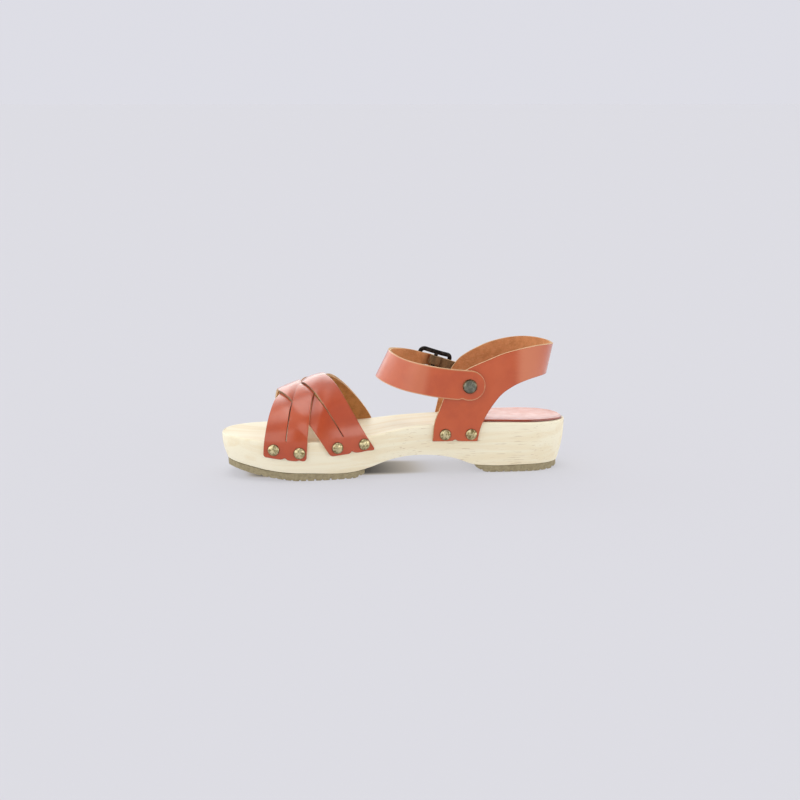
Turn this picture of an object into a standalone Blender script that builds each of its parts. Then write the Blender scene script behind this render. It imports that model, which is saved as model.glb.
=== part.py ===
"""Wooden-soled sandal for the right foot: woven leather vamp, heel strap and buckled ankle strap.

Lengths here are millimetres and become metres as each mesh is made. A station is the distance along the
foot from the back of the heel. The toe points to -X, the inner side of the foot faces -Y, +Z is up, and the
origin lies on the floor under the middle of the sandal. Side -1 is the inner side, side +1 the outer.
"""

import math

import bmesh
import bpy
import numpy as np
from mathutils import Matrix, Vector

MM = 0.001
INNER = -1
OUTER = 1
SIDES = {INNER: "inner", OUTER: "outer"}

# Whole sandal
SOLE_LENGTH = 251.0
SIDE_SHIFT = -0.13
FIT_GAP = 0.3
LEATHER = 2.2
LUG_GAP = 0.35
HOLE_SIDES = 8

# Wooden sole: the rounded ends and the widest outline, as half-breadths from the long axis
HEEL_CAP = 34.0
HEEL_FULLNESS = 2.15
TOE_START = 190.0
TOE_FULLNESS = {INNER: 2.25, OUTER: 2.05}
TOE_TIP_ACROSS = -7.0
OUTLINE_COLUMNS = ("station", "inner", "outer")
OUTLINE_ROWS = (
    (20.0, 29.0, 29.0),
    (40.0, 29.0, 29.2),
    (65.0, 28.8, 30.0),
    (90.0, 28.6, 32.0),
    (115.0, 30.3, 35.3),
    (140.0, 35.0, 39.5),
    (165.0, 41.0, 43.4),
    (182.0, 44.0, 44.9),
    (200.0, 45.0, 44.6),
)

# Wooden sole: height of the footbed's rim on either side, a row for each section
RIM_COLUMNS = ("station", "inner", "outer")
RIM_ROWS = (
    (0.0, 36.4, 36.4),
    (33.0, 36.8, 36.6),
    (64.0, 37.6, 36.2),
    (102.0, 36.8, 34.4),
    (117.0, 35.7, 33.2),
    (130.0, 33.6, 31.6),
    (145.0, 30.8, 29.6),
    (165.0, 29.2, 28.6),
    (190.0, 28.8, 28.4),
    (222.0, 29.8, 29.4),
    (250.0, 31.4, 31.2),
)
DISH_DEPTH = 1.4
LEAST_BREADTH = 20.0
EDGE_ROUND = 2.0
EDGE_TURN = 45.0

# Wooden sole: height of the underside, and how far the side walls draw in there
UNDERSIDE_COLUMNS = ("station", "height", "taper")
UNDERSIDE_ROWS = (
    (0.0, 5.4, 5.2),
    (30.0, 5.4, 3.4),
    (62.0, 5.4, 3.0),
    (71.0, 6.4, 3.0),
    (82.0, 10.4, 3.0),
    (92.0, 12.8, 3.0),
    (105.0, 14.1, 3.0),
    (118.0, 14.0, 3.0),
    (132.0, 11.8, 3.0),
    (146.0, 7.4, 3.0),
    (154.0, 5.6, 3.0),
    (190.0, 5.7, 3.0),
    (206.0, 6.4, 3.0),
    (220.0, 8.0, 3.0),
    (232.0, 10.2, 3.2),
    (250.0, 13.8, 3.6),
)
TAPER_BEND = 2.1
WALL_STEPS = (0.0, 0.22, 0.5, 1.0)
FOOTBED_STEPS = (0.8, 0.45, 0.0)
SPINE_MARGIN = 6.0
HEEL_STEP = 10
TOE_STEP = 9
MIDDLE_STEPS = 25

# Ribbed rubber under the forefoot and the heel: height of the tread above the floor
RUBBER_INSET = 0.6
RIB_PITCH = 5.4
RIB_GROOVE = 1.9
RIB_DEPTH = 1.2
RIB_BEVEL = 0.4
TREAD_COLUMNS = ("station", "height")
FOREFOOT_TREAD = (
    (150.5, 3.4),
    (153.5, 1.6),
    (158.0, 0.0),
    (199.0, 0.0),
    (207.0, 0.8),
    (218.0, 2.5),
    (227.0, 4.2),
    (237.0, 6.4),
    (250.0, 9.2),
)
HEEL_TREAD = (
    (0.0, 3.8),
    (6.0, 1.6),
    (12.0, 0.0),
    (61.0, 0.0),
    (65.0, 1.8),
    (68.5, 4.0),
)
RUBBER_ENDS = {"outsole_forefoot": (150.5, 245.8), "outsole_heel": (6.6, 68.5)}

# Leather pad on the heel of the footbed
PAD_INSET = 1.8
PAD_THICK = 1.6
PAD_SHOULDER = 72.0
PAD_FRONT = 80.0
PAD_SPINE = (17.0, 68.0)
PAD_STEPS = 7
PAD_FRONT_STEPS = 9
PAD_RINGS = (0.0, 0.5, 0.85, 1.0)

# Woven vamp: a middle line across the foot, bowed forward, with two slit bands crossing it
VAMP_MIDDLE = 177.2
VAMP_BOW = 16.0
VAMP_BOW_POWER = 1.75
VAMP_SKEW = 6.4
BAND_SWING = {"fore": -24.0, "aft": 24.0}
OUTER_SWING_POWER = {"fore": 1.1, "aft": 1.5}
BAND_HALF = {"fore": 14.8, "aft": 16.2}
SLIT_HALF = 0.4
SLIT_END = 0.84
STRIP_MIDDLE = 0.5
HALF_GIRTH = 50.0
VAMP_ROWS = 30
LUG_ROWS = 3
ARCH_FULLNESS = {INNER: 2.05, OUTER: 2.85}
SPRING_DROP = 2.0
WEAVE_LIFT = 0.75
RIDGE_COLUMNS = ("station", "height")
RIDGE_ROWS = ((130.0, 66.0), (160.0, 68.6), (177.0, 68.0), (196.0, 62.2), (212.0, 56.2), (230.0, 49.0))
LUG_EDGE_COLUMNS = ("station", "height")
LUG_EDGE_ROWS = ((130.0, 22.4), (145.0, 20.8), (176.0, 18.0), (192.0, 15.6), (222.0, 18.4), (232.0, 19.6))
# Each strip's height in the weave along the girth: -1 is under, +1 is over
WEAVE_COLUMNS = ("girth", "lift")
WEAVE_ROWS = {
    ("fore", "front"): ((-0.34, 0.0), (0.0, -1.0), (0.325, 1.0), (0.64, 0.0)),
    ("fore", "rear"): ((-0.64, 0.0), (-0.325, 1.0), (0.0, -1.0), (0.34, 0.0)),
    ("aft", "front"): ((-0.64, 0.0), (-0.325, -1.0), (0.0, 1.0), (0.34, 0.0)),
    ("aft", "rear"): ((-0.34, 0.0), (0.0, 1.0), (0.325, -1.0), (0.64, 0.0)),
}

# Heel strap and lugs in one piece: runs are measured round the heel from the middle of its back
HEEL_TURN = 45.0
TURN_RUN = 51.0
HEEL_HALF = 31.5
HEEL_DEPTH = 30.4
HEEL_LEAN = 0.225
HEEL_LEAN_FROM = 69.1
LUG_BLEND = (38.0, 54.0)
QUARTER_COLUMNS = ("along", "top_run", "top_height", "low_run", "low_height", "outer_shift")
QUARTER_ROWS = (
    (0.0, 106.8, 24.8, 74.6, 24.1, 7.5),
    (0.1, 104.3, 36.0, 72.6, 33.1, 7.5),
    (0.2, 102.0, 46.0, 69.8, 40.0, 7.5),
    (0.3, 99.6, 55.0, 66.4, 46.5, 7.3),
    (0.4, 95.8, 63.5, 62.5, 52.2, 6.6),
    (0.5, 90.2, 70.8, 57.5, 58.1, 5.4),
    (0.6, 81.9, 77.0, 51.0, 62.8, 3.5),
    (0.7, 66.7, 83.5, 43.0, 66.4, 0.5),
    (0.8, 52.7, 88.7, 32.5, 68.9, 0.0),
    (0.9, 32.0, 92.4, 19.0, 69.8, 0.0),
    (1.0, 0.0, 91.2, 0.0, 69.1, 0.0),
)
QUARTER_STEPS = 22
QUARTER_BREADTH = (0.0, 0.25, 0.5, 0.75, 1.0)

# Ankle strap: its middle line from the inner rivet round the front of the ankle, then through the buckle
STRAP_HALF = 10.75
STRAP_COLUMNS = ("station", "across", "height", "lean")
STRAP_ROWS = (
    (63.9, -34.0, 64.3, 0.0),
    (75.0, -34.0, 65.4, 0.0),
    (87.0, -34.0, 66.5, 0.0),
    (98.0, -33.5, 68.0, 1.0),
    (109.0, -31.0, 70.0, 3.0),
    (119.0, -26.3, 72.0, 8.0),
    (127.5, -18.6, 74.6, 17.0),
    (132.4, -8.0, 76.6, 25.0),
    (133.2, 2.5, 77.2, 26.5),
    (130.5, 13.0, 76.8, 23.0),
    (123.5, 22.3, 75.2, 16.0),
    (114.5, 28.4, 73.2, 8.0),
)
STRAP_STEPS = 74
STRAP_BREADTH = (-1.0, -0.35, 0.35, 1.0)
END_STEPS = (12.0, 32.0, 52.0, 72.0)

# Buckle on the outer side. The runs are pairs: along the strap and outward, from the centre bar
BUCKLE_STATION = 93.5
BUCKLE_ACROSS = 34.4
BUCKLE_HEIGHT = 67.7
BUCKLE_SLOPE = 18.0
BUCKLE_TURN = 10.0
BUCKLE_REACH = 11.5
BUCKLE_SPAN = 13.0
BUCKLE_CORNER = 3.0
BUCKLE_BOW = 3.6
FRAME_RADIUS = 1.5
BAR_RADIUS = 1.44
BAR_SIDES = 8
STRAP_RUN = (
    (16.5, -0.6),
    (11.5, -0.1),
    (6.4, 2.9),
    (2.6, 5.1),
    (0.0, 5.6),
    (-2.6, 5.1),
    (-6.4, 2.9),
    (-11.5, 0.4),
    (-20.0, 0.6),
    (-33.0, 1.0),
)
PRONG_RADIUS = 0.9
PRONG_HOOK = 2.8
PRONG_RUN = ((1.6, 3.0), (5.0, 4.7), (8.5, 6.0), (11.5, 6.5), (13.4, 6.5))
PRONG_SLOT = (1.4, 8.2)
PRONG_SLOT_LEVELS = (-4.0, 12.0)
PRONG_CLEARANCE = 0.5
TAB_HALF = 10.0
TAB_LOOP = 2.9
TAB_RETURN = -3.4
TAB_REAR = -31.0
TAB_LIE = 2.5
TAB_DROP = 4.5
TAB_STEPS = 6
TAB_RUN = ((-9.0, -2.0), (-6.0, 0.0), (-3.0, 1.95))

# Rivets and nails. A dome is pairs: share of the radius and share of the rise
RIVET_STATION = {INNER: 75.0, OUTER: 73.0}
RIVET_HEIGHT = {INNER: 64.8, OUTER: 60.8}
RIVET_CAP = 5.2
RIVET_RISE = {INNER: 2.0, OUTER: 1.4}
RIVET_POST = 1.6
RIVET_BACK = 4.2
RIVET_BACK_THICK = 0.8
RIVET_SIDES = 16
RIVET_DOME = ((0.0, 1.0), (0.55, 0.96), (0.86, 0.78), (1.0, 0.4), (1.0, 0.0))
NAIL_HEAD = 4.2
NAIL_RISE = 2.0
NAIL_SHANK = 1.0
NAIL_DEPTH = 8.0
NAIL_POINT = 1.0
NAIL_SIDES = 12
NAIL_DOME = ((0.0, 1.0), (0.5, 0.88), (0.85, 0.52), (1.0, 0.15), (1.0, 0.0))
NAIL_COLUMNS = ("station", "height", "outer_shift")
NAIL_ROWS = (
    (215.3, 23.8, 10.3),
    (197.8, 21.5, 10.3),
    (171.1, 24.2, 8.7),
    (151.9, 25.6, 8.7),
    (92.0, 29.6, 7.5),
    (73.1, 29.4, 7.5),
)
NAIL_NAMES = ("toe_front", "toe_rear", "ball_front", "ball_rear", "heel_front", "heel_rear")

# Looks: base colour, roughness and metallic value
LOOKS = {
    "leather_terracotta": ((0.58, 0.10, 0.05), 0.38, 0.0),
    "leather_pad": ((0.62, 0.20, 0.15), 0.45, 0.0),
    "wood_pale": ((0.85, 0.72, 0.50), 0.6, 0.0),
    "rubber_beige": ((0.30, 0.26, 0.17), 0.85, 0.0),
    "brass_antique": ((0.38, 0.30, 0.13), 0.45, 1.0),
    "nickel_dark": ((0.16, 0.15, 0.12), 0.35, 1.0),
    "gunmetal": ((0.03, 0.03, 0.035), 0.4, 1.0),
}


class Table:
    """Smooth curves through a short table's rows; the first column is the one that runs."""

    def __init__(self, columns, rows):
        values = np.array(rows, dtype=float)
        self.knots = values[:, 0]
        self.values = {name: values[:, k] for k, name in enumerate(columns)}

    def at(self, name, where):
        """The column's value, cubic between rows and level past the ends."""
        knots = self.knots
        values = self.values[name]
        slopes = np.gradient(values, knots)
        where = np.clip(where, knots[0], knots[-1])
        row = np.clip(np.searchsorted(knots, where) - 1, 0, len(knots) - 2)
        width = knots[row + 1] - knots[row]
        part = (where - knots[row]) / width
        rest = 1.0 - part
        ends = values[row] * (1.0 + 2.0 * part) * rest**2 + values[row + 1] * (1.0 + 2.0 * rest) * part**2
        bends = slopes[row] * part * rest**2 - slopes[row + 1] * rest * part**2
        return float(ends + width * bends)

    def straight(self, name, where):
        """The column's value on straight lines between rows."""
        return float(np.interp(where, self.knots, self.values[name]))


OUTLINE = Table(OUTLINE_COLUMNS, OUTLINE_ROWS)
RIM = Table(RIM_COLUMNS, RIM_ROWS)
UNDERSIDE = Table(UNDERSIDE_COLUMNS, UNDERSIDE_ROWS)
RIDGE = Table(RIDGE_COLUMNS, RIDGE_ROWS)
LUG_EDGE = Table(LUG_EDGE_COLUMNS, LUG_EDGE_ROWS)
QUARTER = Table(QUARTER_COLUMNS, QUARTER_ROWS)


def world(station, across, height):
    """A point in the sandal's frame, in millimetres."""
    return Vector((SOLE_LENGTH / 2.0 - station, across + SIDE_SHIFT, height))


def unit_normal(place, first, second, step=0.05):
    """The normal of a surface that place gives from two numbers."""
    along = place(first + step, second) - place(first - step, second)
    other = place(first, second + step) - place(first, second - step)
    return along.cross(other).normalized()


# Meshes


def make_material(name):
    """A plain material with the part's colour, roughness and metallic value."""
    material = bpy.data.materials.get(name)
    if material:
        return material
    colour, roughness, metallic = LOOKS[name]
    material = bpy.data.materials.new(name)
    material.use_nodes = True
    shader = material.node_tree.nodes["Principled BSDF"]
    shader.inputs["Base Color"].default_value = (*colour, 1.0)
    shader.inputs["Roughness"].default_value = roughness
    shader.inputs["Metallic"].default_value = metallic
    material.diffuse_color = (*colour, 1.0)
    return material


def finish(name, shape, look, sharp_angle=40.0):
    """Turns a bmesh in millimetres into a named object in metres."""
    bmesh.ops.remove_doubles(shape, verts=shape.verts, dist=1e-4)
    bmesh.ops.recalc_face_normals(shape, faces=shape.faces)
    bmesh.ops.scale(shape, vec=(MM, MM, MM), verts=shape.verts)
    mesh = bpy.data.meshes.new(name)
    shape.to_mesh(mesh)
    shape.free()
    mesh.shade_smooth()
    mesh.set_sharp_from_angle(angle=math.radians(sharp_angle))
    if look:
        mesh.materials.append(make_material(look))
    obj = bpy.data.objects.new(name, mesh)
    bpy.context.scene.collection.objects.link(obj)
    return obj


def sheet(columns, rows, place):
    """A grid of faces whose corner in column i and row j lies at place(columns[i], rows[j])."""
    shape = bmesh.new()
    bmesh.ops.create_grid(shape, x_segments=len(columns) - 1, y_segments=len(rows) - 1, size=0.5)
    for vert in shape.verts:
        i = round((vert.co.x + 0.5) * (len(columns) - 1))
        j = round((vert.co.y + 0.5) * (len(rows) - 1))
        vert.co = place(columns[i], rows[j])
    return shape


def close_ends(shape):
    """Fills the open ends of a tube."""
    bmesh.ops.remove_doubles(shape, verts=shape.verts, dist=1e-4)
    open_edges = [edge for edge in shape.edges if edge.is_boundary]
    bmesh.ops.holes_fill(shape, edges=open_edges, sides=0)
    return shape


def turned(profile, sides, middle, axis):
    """A solid turned from (radius, height) pairs about an axis through a middle point."""
    shape = bmesh.new()
    verts = [shape.verts.new((radius, 0.0, height)) for radius, height in profile]
    for first, second in zip(verts, verts[1:]):
        shape.edges.new((first, second))
    bmesh.ops.spin(
        shape,
        geom=shape.edges[:],
        axis=(0.0, 0.0, 1.0),
        cent=(0.0, 0.0, 0.0),
        angle=2.0 * math.pi,
        steps=sides,
        use_merge=True,
    )
    turn = Vector(axis).to_track_quat("Z", "Y").to_matrix().to_4x4()
    bmesh.ops.transform(shape, matrix=Matrix.Translation(middle) @ turn, verts=shape.verts)
    return shape


def tube(path, radius, sides, across, closed=False):
    """A round bar along points whose bends lie square to the direction across."""
    count = len(path)
    across = Vector(across).normalized()

    def place(angle, k):
        ahead = path[(k + 1) % count] if closed else path[min(k + 1, count - 1)]
        behind = path[k - 1] if closed or k > 0 else path[0]
        tangent = (ahead - behind).normalized()
        out = tangent.cross(across)
        return path[k % count] + radius * (math.cos(angle) * out + math.sin(angle) * across)

    angles = [2.0 * math.pi * k / sides for k in range(sides + 1)]
    rows = range(count + 1) if closed else range(count)
    return close_ends(sheet(angles, rows, lambda angle, k: place(angle, k % count)))


def thicken(obj):
    """Gives a leather sheet its thickness, half to each side."""
    wall = obj.modifiers.new("wall", "SOLIDIFY")
    wall.thickness = LEATHER * MM
    wall.offset = 0.0
    wall.use_even_offset = True
    wall.use_quality_normals = True


def combine(obj, other, operation):
    """Unites an object with another, or cuts it; the other stays as a hidden helper."""
    other.hide_render = True
    other.display_type = "WIRE"
    step = obj.modifiers.new(operation.lower(), "BOOLEAN")
    step.operation = operation
    step.object = other
    step.solver = "EXACT"


def drill(obj, name, pegs):
    """Cuts round holes; each peg is a middle point, an axis, a radius and a half length."""
    cutters = bmesh.new()
    for middle, axis, radius, reach in pegs:
        turn = Vector(axis).to_track_quat("Z", "Y").to_matrix().to_4x4()
        bmesh.ops.create_cone(
            cutters,
            cap_ends=True,
            segments=HOLE_SIDES,
            radius1=radius,
            radius2=radius,
            depth=2.0 * reach,
            matrix=Matrix.Translation(middle) @ turn,
        )
    combine(obj, finish(name, cutters, None), "DIFFERENCE")


# Wooden sole


def edge_across(station, side, inset=0.0):
    """Where an outline drawn in from the sole's widest one crosses a station."""
    reach = side * (OUTLINE.at(SIDES[side], station) - inset)
    if station < HEEL_CAP:
        part = min((HEEL_CAP - station) / (HEEL_CAP - inset), 1.0)
        return reach * (1.0 - part**HEEL_FULLNESS) ** (1.0 / HEEL_FULLNESS)
    if station > TOE_START:
        full = TOE_FULLNESS[side]
        part = min((station - TOE_START) / (SOLE_LENGTH - inset - TOE_START), 1.0)
        return TOE_TIP_ACROSS + (reach - TOE_TIP_ACROSS) * (1.0 - part**full) ** (1.0 / full)
    return reach


def footbed(station, across):
    """Height of the footbed: level from rim to rim, with a shallow dish between."""
    inner = edge_across(station, INNER)
    outer = edge_across(station, OUTER)
    part = min(max((across - inner) / max(outer - inner, LEAST_BREADTH), 0.0), 1.0)
    rim = RIM.at("inner", station) * (1.0 - part) + RIM.at("outer", station) * part
    return rim - DISH_DEPTH * (1.0 - (2.0 * part - 1.0) ** 2)


def wall_inset(station, side, height):
    """How far the wooden wall has drawn in at a height, from the widest outline."""
    low = UNDERSIDE.at("height", station)
    high = RIM.at(SIDES[side], station) - EDGE_ROUND
    part = min(max((height - low) / (high - low), 0.0), 1.0)
    return UNDERSIDE.at("taper", station) * (1.0 - part) ** TAPER_BEND


def wall_point(station, side, height, out=0.0):
    """A point on the wooden wall, or out from it square to the outline."""
    step = 0.05
    slope = (edge_across(station + step, side) - edge_across(station - step, side)) / (2.0 * step)
    length = math.hypot(1.0, slope)
    shift = out - wall_inset(station, side, height)
    across = edge_across(station, side) + side * shift / length
    return world(station - side * shift * slope / length, across, height)


def outline_loop():
    """Stations and sides round the sole, from the heel's tip by the outer side to the toe and back."""
    heel = [HEEL_CAP * (1.0 - math.cos(math.radians(angle))) for angle in range(0, 90, HEEL_STEP)]
    middle = [float(s) for s in np.linspace(HEEL_CAP, TOE_START, MIDDLE_STEPS)]
    toe_length = SOLE_LENGTH - TOE_START
    angles = range(TOE_STEP, 91, TOE_STEP)
    toe = [TOE_START + toe_length * math.sin(math.radians(angle)) for angle in angles]
    stations = heel + middle + toe
    outer = [(s, OUTER) for s in stations]
    return outer + [(s, INNER) for s in reversed(stations[1:-1])]


def build_sole():
    loop = outline_loop()
    count = len(loop)
    edge = [Vector((s, edge_across(s, side), 0.0)) for s, side in loop]

    def inset_point(k, inset):
        """The loop's point k, drawn in square to the outline."""
        ahead = edge[(k + 1) % count] - edge[k - 1]
        inward = Vector((ahead.y, -ahead.x, 0.0)).normalized()
        return edge[k] + inset * inward

    def toward_spine(k, inset, part):
        """Between the drawn-in outline (part 1) and the sole's middle line (part 0)."""
        point = inset_point(k, inset)
        station = min(max(loop[k][0], SPINE_MARGIN), SOLE_LENGTH - SPINE_MARGIN)
        middle = 0.5 * (edge_across(station, INNER) + edge_across(station, OUTER))
        return Vector((station, middle, 0.0)).lerp(point, part)

    def place(k, ring):
        kind, amount = ring
        k = k % count
        station, side = loop[k]
        rim = RIM.at(SIDES[side], station)
        if kind == "underside":
            point = toward_spine(k, UNDERSIDE.at("taper", station), amount)
            return world(point.x, point.y, UNDERSIDE.at("height", point.x))
        if kind == "wall":
            low = UNDERSIDE.at("height", station)
            height = low + amount * (rim - EDGE_ROUND - low)
            point = inset_point(k, wall_inset(station, side, height))
            return world(point.x, point.y, height)
        if kind == "round":
            turn = math.radians(amount)
            point = inset_point(k, EDGE_ROUND * (1.0 - math.cos(turn)))
            return world(point.x, point.y, rim - EDGE_ROUND * (1.0 - math.sin(turn)))
        point = toward_spine(k, EDGE_ROUND, amount)
        return world(point.x, point.y, footbed(point.x, point.y))

    rings = [("underside", 0.0)]
    rings += [("wall", step) for step in WALL_STEPS]
    rings += [("round", EDGE_TURN)]
    rings += [("footbed", 1.0)]
    rings += [("footbed", step) for step in FOOTBED_STEPS]
    sole = finish("sole_wood", sheet(range(count + 1), rings, place), "wood_pale")
    drill(sole, "sole_nail_holes", nail_pegs(range(len(NAIL_ROWS))))
    return sole


# Rubber soles and heel pad


def build_rubber(name, tread_rows):
    """A rubber sole: flat to the wood, with ribs across its tread."""
    tread = Table(TREAD_COLUMNS, tread_rows)
    first, last = RUBBER_ENDS[name]
    stations = [(first, 0.0)]
    station = first + RIB_PITCH / 2.0
    while station + RIB_GROOVE < last - RIB_PITCH / 2.0:
        stations += [(station, 0.0), (station + RIB_BEVEL, RIB_DEPTH)]
        stations += [(station + RIB_GROOVE - RIB_BEVEL, RIB_DEPTH), (station + RIB_GROOVE, 0.0)]
        station += RIB_PITCH
    stations.append((last, 0.0))
    corners = (("top", INNER), ("top", OUTER), ("tread", OUTER), ("tread", INNER), ("top", INNER))

    def place(corner, row):
        level, side = corner
        station, depth = row
        inset = UNDERSIDE.at("taper", station) + RUBBER_INSET
        across = edge_across(station, side, inset)
        if level == "top":
            return world(station, across, UNDERSIDE.at("height", station) - FIT_GAP)
        return world(station, across, tread.straight("height", station) + depth)

    return finish(name, close_ends(sheet(corners, stations, place)), "rubber_beige", sharp_angle=30.0)


def build_heel_pad():
    """The pad follows the footbed's dish, a little in from its rim."""
    turns = [math.radians(angle) for angle in range(0, 90, HEEL_STEP)]
    back = [PAD_INSET + (HEEL_CAP - PAD_INSET) * (1.0 - math.cos(turn)) for turn in turns]
    stations = back + [float(s) for s in np.linspace(HEEL_CAP, PAD_SHOULDER, PAD_STEPS)]
    outer = [Vector((s, edge_across(s, OUTER, PAD_INSET), 0.0)) for s in stations]
    inner = [Vector((s, edge_across(s, INNER, PAD_INSET), 0.0)) for s in reversed(stations[1:])]
    front = []
    for turn in np.linspace(0.0, math.pi, PAD_FRONT_STEPS)[1:-1]:
        across = inner[0].y + (outer[-1].y - inner[0].y) * (1.0 + math.cos(turn)) / 2.0
        front.append(Vector((PAD_SHOULDER + (PAD_FRONT - PAD_SHOULDER) * math.sin(turn), across, 0.0)))
    loop = outer + front + inner

    def place(k, ring):
        part, lift = ring
        point = loop[k % len(loop)]
        spine = Vector((min(max(point.x, PAD_SPINE[0]), PAD_SPINE[1]), 0.0, 0.0))
        point = spine.lerp(point, part)
        return world(point.x, point.y, footbed(point.x, point.y) + FIT_GAP + lift)

    rings = [(part, 0.0) for part in PAD_RINGS] + [(part, PAD_THICK) for part in reversed(PAD_RINGS)]
    return finish("heel_pad", sheet(range(len(loop) + 1), rings, place), "leather_pad")


# Woven vamp


def vamp_point(station, girth):
    """The vamp's middle surface: girth runs from -1 at the inner lug's foot over the ridge to +1."""
    side = INNER if girth < 0.0 else OUTER
    out = LUG_GAP + LEATHER / 2.0
    rise = 1.0 - abs(girth)
    foot = LUG_EDGE.at("height", station)
    spring = RIM.at(SIDES[side], station) - SPRING_DROP
    ridge = RIDGE.at("height", station)
    root = wall_point(station, side, spring, out)
    crown = world(station, 0.5 * (edge_across(station, INNER) + edge_across(station, OUTER)), ridge)
    wall_run = spring - foot
    arch_run = math.pi / 2.0 * math.sqrt(((root.y - crown.y) ** 2 + (ridge - spring) ** 2) / 2.0)
    share = wall_run / (wall_run + arch_run)
    if rise <= share:
        return wall_point(station, side, foot + wall_run * rise / share, out)
    angle = math.pi / 2.0 * (rise - share) / (1.0 - share)
    inward = max(math.cos(angle), 0.0) ** (2.0 / ARCH_FULLNESS[side])
    upward = math.sin(angle) ** (2.0 / ARCH_FULLNESS[side])
    return Vector(
        (
            crown.x + (root.x - crown.x) * inward,
            crown.y + (root.y - crown.y) * inward,
            spring + (ridge - spring) * upward,
        )
    )


def build_band(name, band):
    """One slit band of the weave, as a sheet with its thickness."""
    lifts = {strip: Table(WEAVE_COLUMNS, WEAVE_ROWS[(band, strip)]) for strip in ("front", "rear")}
    half = BAND_HALF[band]
    slit = SLIT_HALF / half
    columns = (-1.0, -STRIP_MIDDLE, -slit, slit, STRIP_MIDDLE, 1.0)
    lug = np.linspace(SLIT_END, 1.0, LUG_ROWS + 1)[1:]
    weave = np.linspace(-SLIT_END, SLIT_END, VAMP_ROWS + 1)
    rows = [float(girth) for girth in (*-lug[::-1], *weave, *lug)]

    def middle_line(girth):
        line = VAMP_MIDDLE + VAMP_BOW * (1.0 - abs(girth) ** VAMP_BOW_POWER) - VAMP_SKEW * girth
        swing = girth if girth < 0.0 else girth ** OUTER_SWING_POWER[band]
        return line + BAND_SWING[band] * swing

    def place(part, girth):
        station = middle_line(girth) + part * half
        strip = "front" if part > 0.0 else "rear"
        lift = WEAVE_LIFT * lifts[strip].at("lift", girth)
        normal = unit_normal(lambda s, t: vamp_point(s, t / HALF_GIRTH), station, girth * HALF_GIRTH)
        up = normal if normal.z > 0.0 else -normal
        return vamp_point(station, girth) + lift * up

    shape = sheet(columns, rows, place)
    slit_faces = []
    for face in shape.faces:
        column = face.index % (len(columns) - 1)
        row = face.index // (len(columns) - 1)
        if column == len(columns) // 2 - 1 and LUG_ROWS <= row < LUG_ROWS + VAMP_ROWS:
            slit_faces.append(face)
    bmesh.ops.delete(shape, geom=slit_faces, context="FACES_ONLY")
    obj = finish(name, shape, "leather_terracotta")
    thicken(obj)
    return obj


def build_vamp():
    """Both bands in one solid, joined where the strips cross."""
    vamp = build_band("upper_vamp", "fore")
    combine(vamp, build_band("vamp_aft_band", "aft"), "UNION")
    drill(vamp, "vamp_nail_holes", nail_pegs(range(4)))
    vamp.modifiers.new("triangles", "TRIANGULATE")
    return vamp


# Heel strap with its lugs


def quarter_point(run, height, side):
    """The quarter's middle surface, from a run round the heel and a height."""
    depth = HEEL_DEPTH + HEEL_LEAN * (height - HEEL_LEAN_FROM)
    if run < TURN_RUN:
        turn = run / TURN_RUN * math.pi / 2.0
        return world(HEEL_TURN - depth * math.cos(turn), side * HEEL_HALF * math.sin(turn), height)
    station = HEEL_TURN + run - TURN_RUN
    free = world(station, side * HEEL_HALF, height)
    low, high = LUG_BLEND
    part = min(max((height - low) / (high - low), 0.0), 1.0)
    part = part * part * (3.0 - 2.0 * part)
    if part == 1.0:
        return free
    return wall_point(station, side, height, LUG_GAP + LEATHER / 2.0).lerp(free, part)


def build_quarter():
    half = [float(k) for k in np.linspace(0.0, 1.0, QUARTER_STEPS + 1)]
    rows = [(along, INNER) for along in half] + [(along, OUTER) for along in reversed(half[:-1])]

    def place(part, row):
        along, side = row
        run = QUARTER.at("top_run", along) * (1.0 - part) + QUARTER.at("low_run", along) * part
        height = QUARTER.at("top_height", along) * (1.0 - part) + QUARTER.at("low_height", along) * part
        if side == OUTER:
            run -= QUARTER.at("outer_shift", along)
        return quarter_point(max(float(run), 0.0), float(height), side)

    quarter = finish("upper_quarter", sheet(QUARTER_BREADTH, rows, place), "leather_terracotta")
    thicken(quarter)
    pegs = nail_pegs(range(4, 6)) + [rivet_peg(side) for side in SIDES]
    drill(quarter, "quarter_holes", pegs)
    return quarter


# Ankle strap and buckle


def buckle_axes():
    """Directions along the strap towards its front, across it, and outward."""
    slope = math.radians(BUCKLE_SLOPE)
    turn = math.radians(BUCKLE_TURN)
    along = Vector((-math.cos(slope) * math.cos(turn), -math.sin(turn), math.sin(slope) * math.cos(turn)))
    across = Vector((math.sin(slope), 0.0, math.cos(slope)))
    return along, across, along.cross(across)


def at_buckle(along, across, outward):
    """A point given in the buckle's own directions, from the middle of its centre bar."""
    forward, upward, out = buckle_axes()
    middle = world(BUCKLE_STATION, BUCKLE_ACROSS, BUCKLE_HEIGHT)
    return middle + along * forward + across * upward + outward * out


def strap_path():
    """Middle points and width directions down the ankle strap."""
    rows = [dict(zip(STRAP_COLUMNS, row)) for row in STRAP_ROWS]
    points = [world(row["station"], row["across"], row["height"]) for row in rows]
    widths = []
    for k, row in enumerate(rows):
        tangent = (points[min(k + 1, len(rows) - 1)] - points[max(k - 1, 0)]).normalized()
        upright = Vector((0.0, 0.0, 1.0)) - tangent.z * tangent
        widths.append(Matrix.Rotation(math.radians(row["lean"]), 3, tangent) @ upright.normalized())
    for along, outward in STRAP_RUN:
        points.append(at_buckle(along, 0.0, outward))
        widths.append(buckle_axes()[1])
    return points, widths


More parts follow.
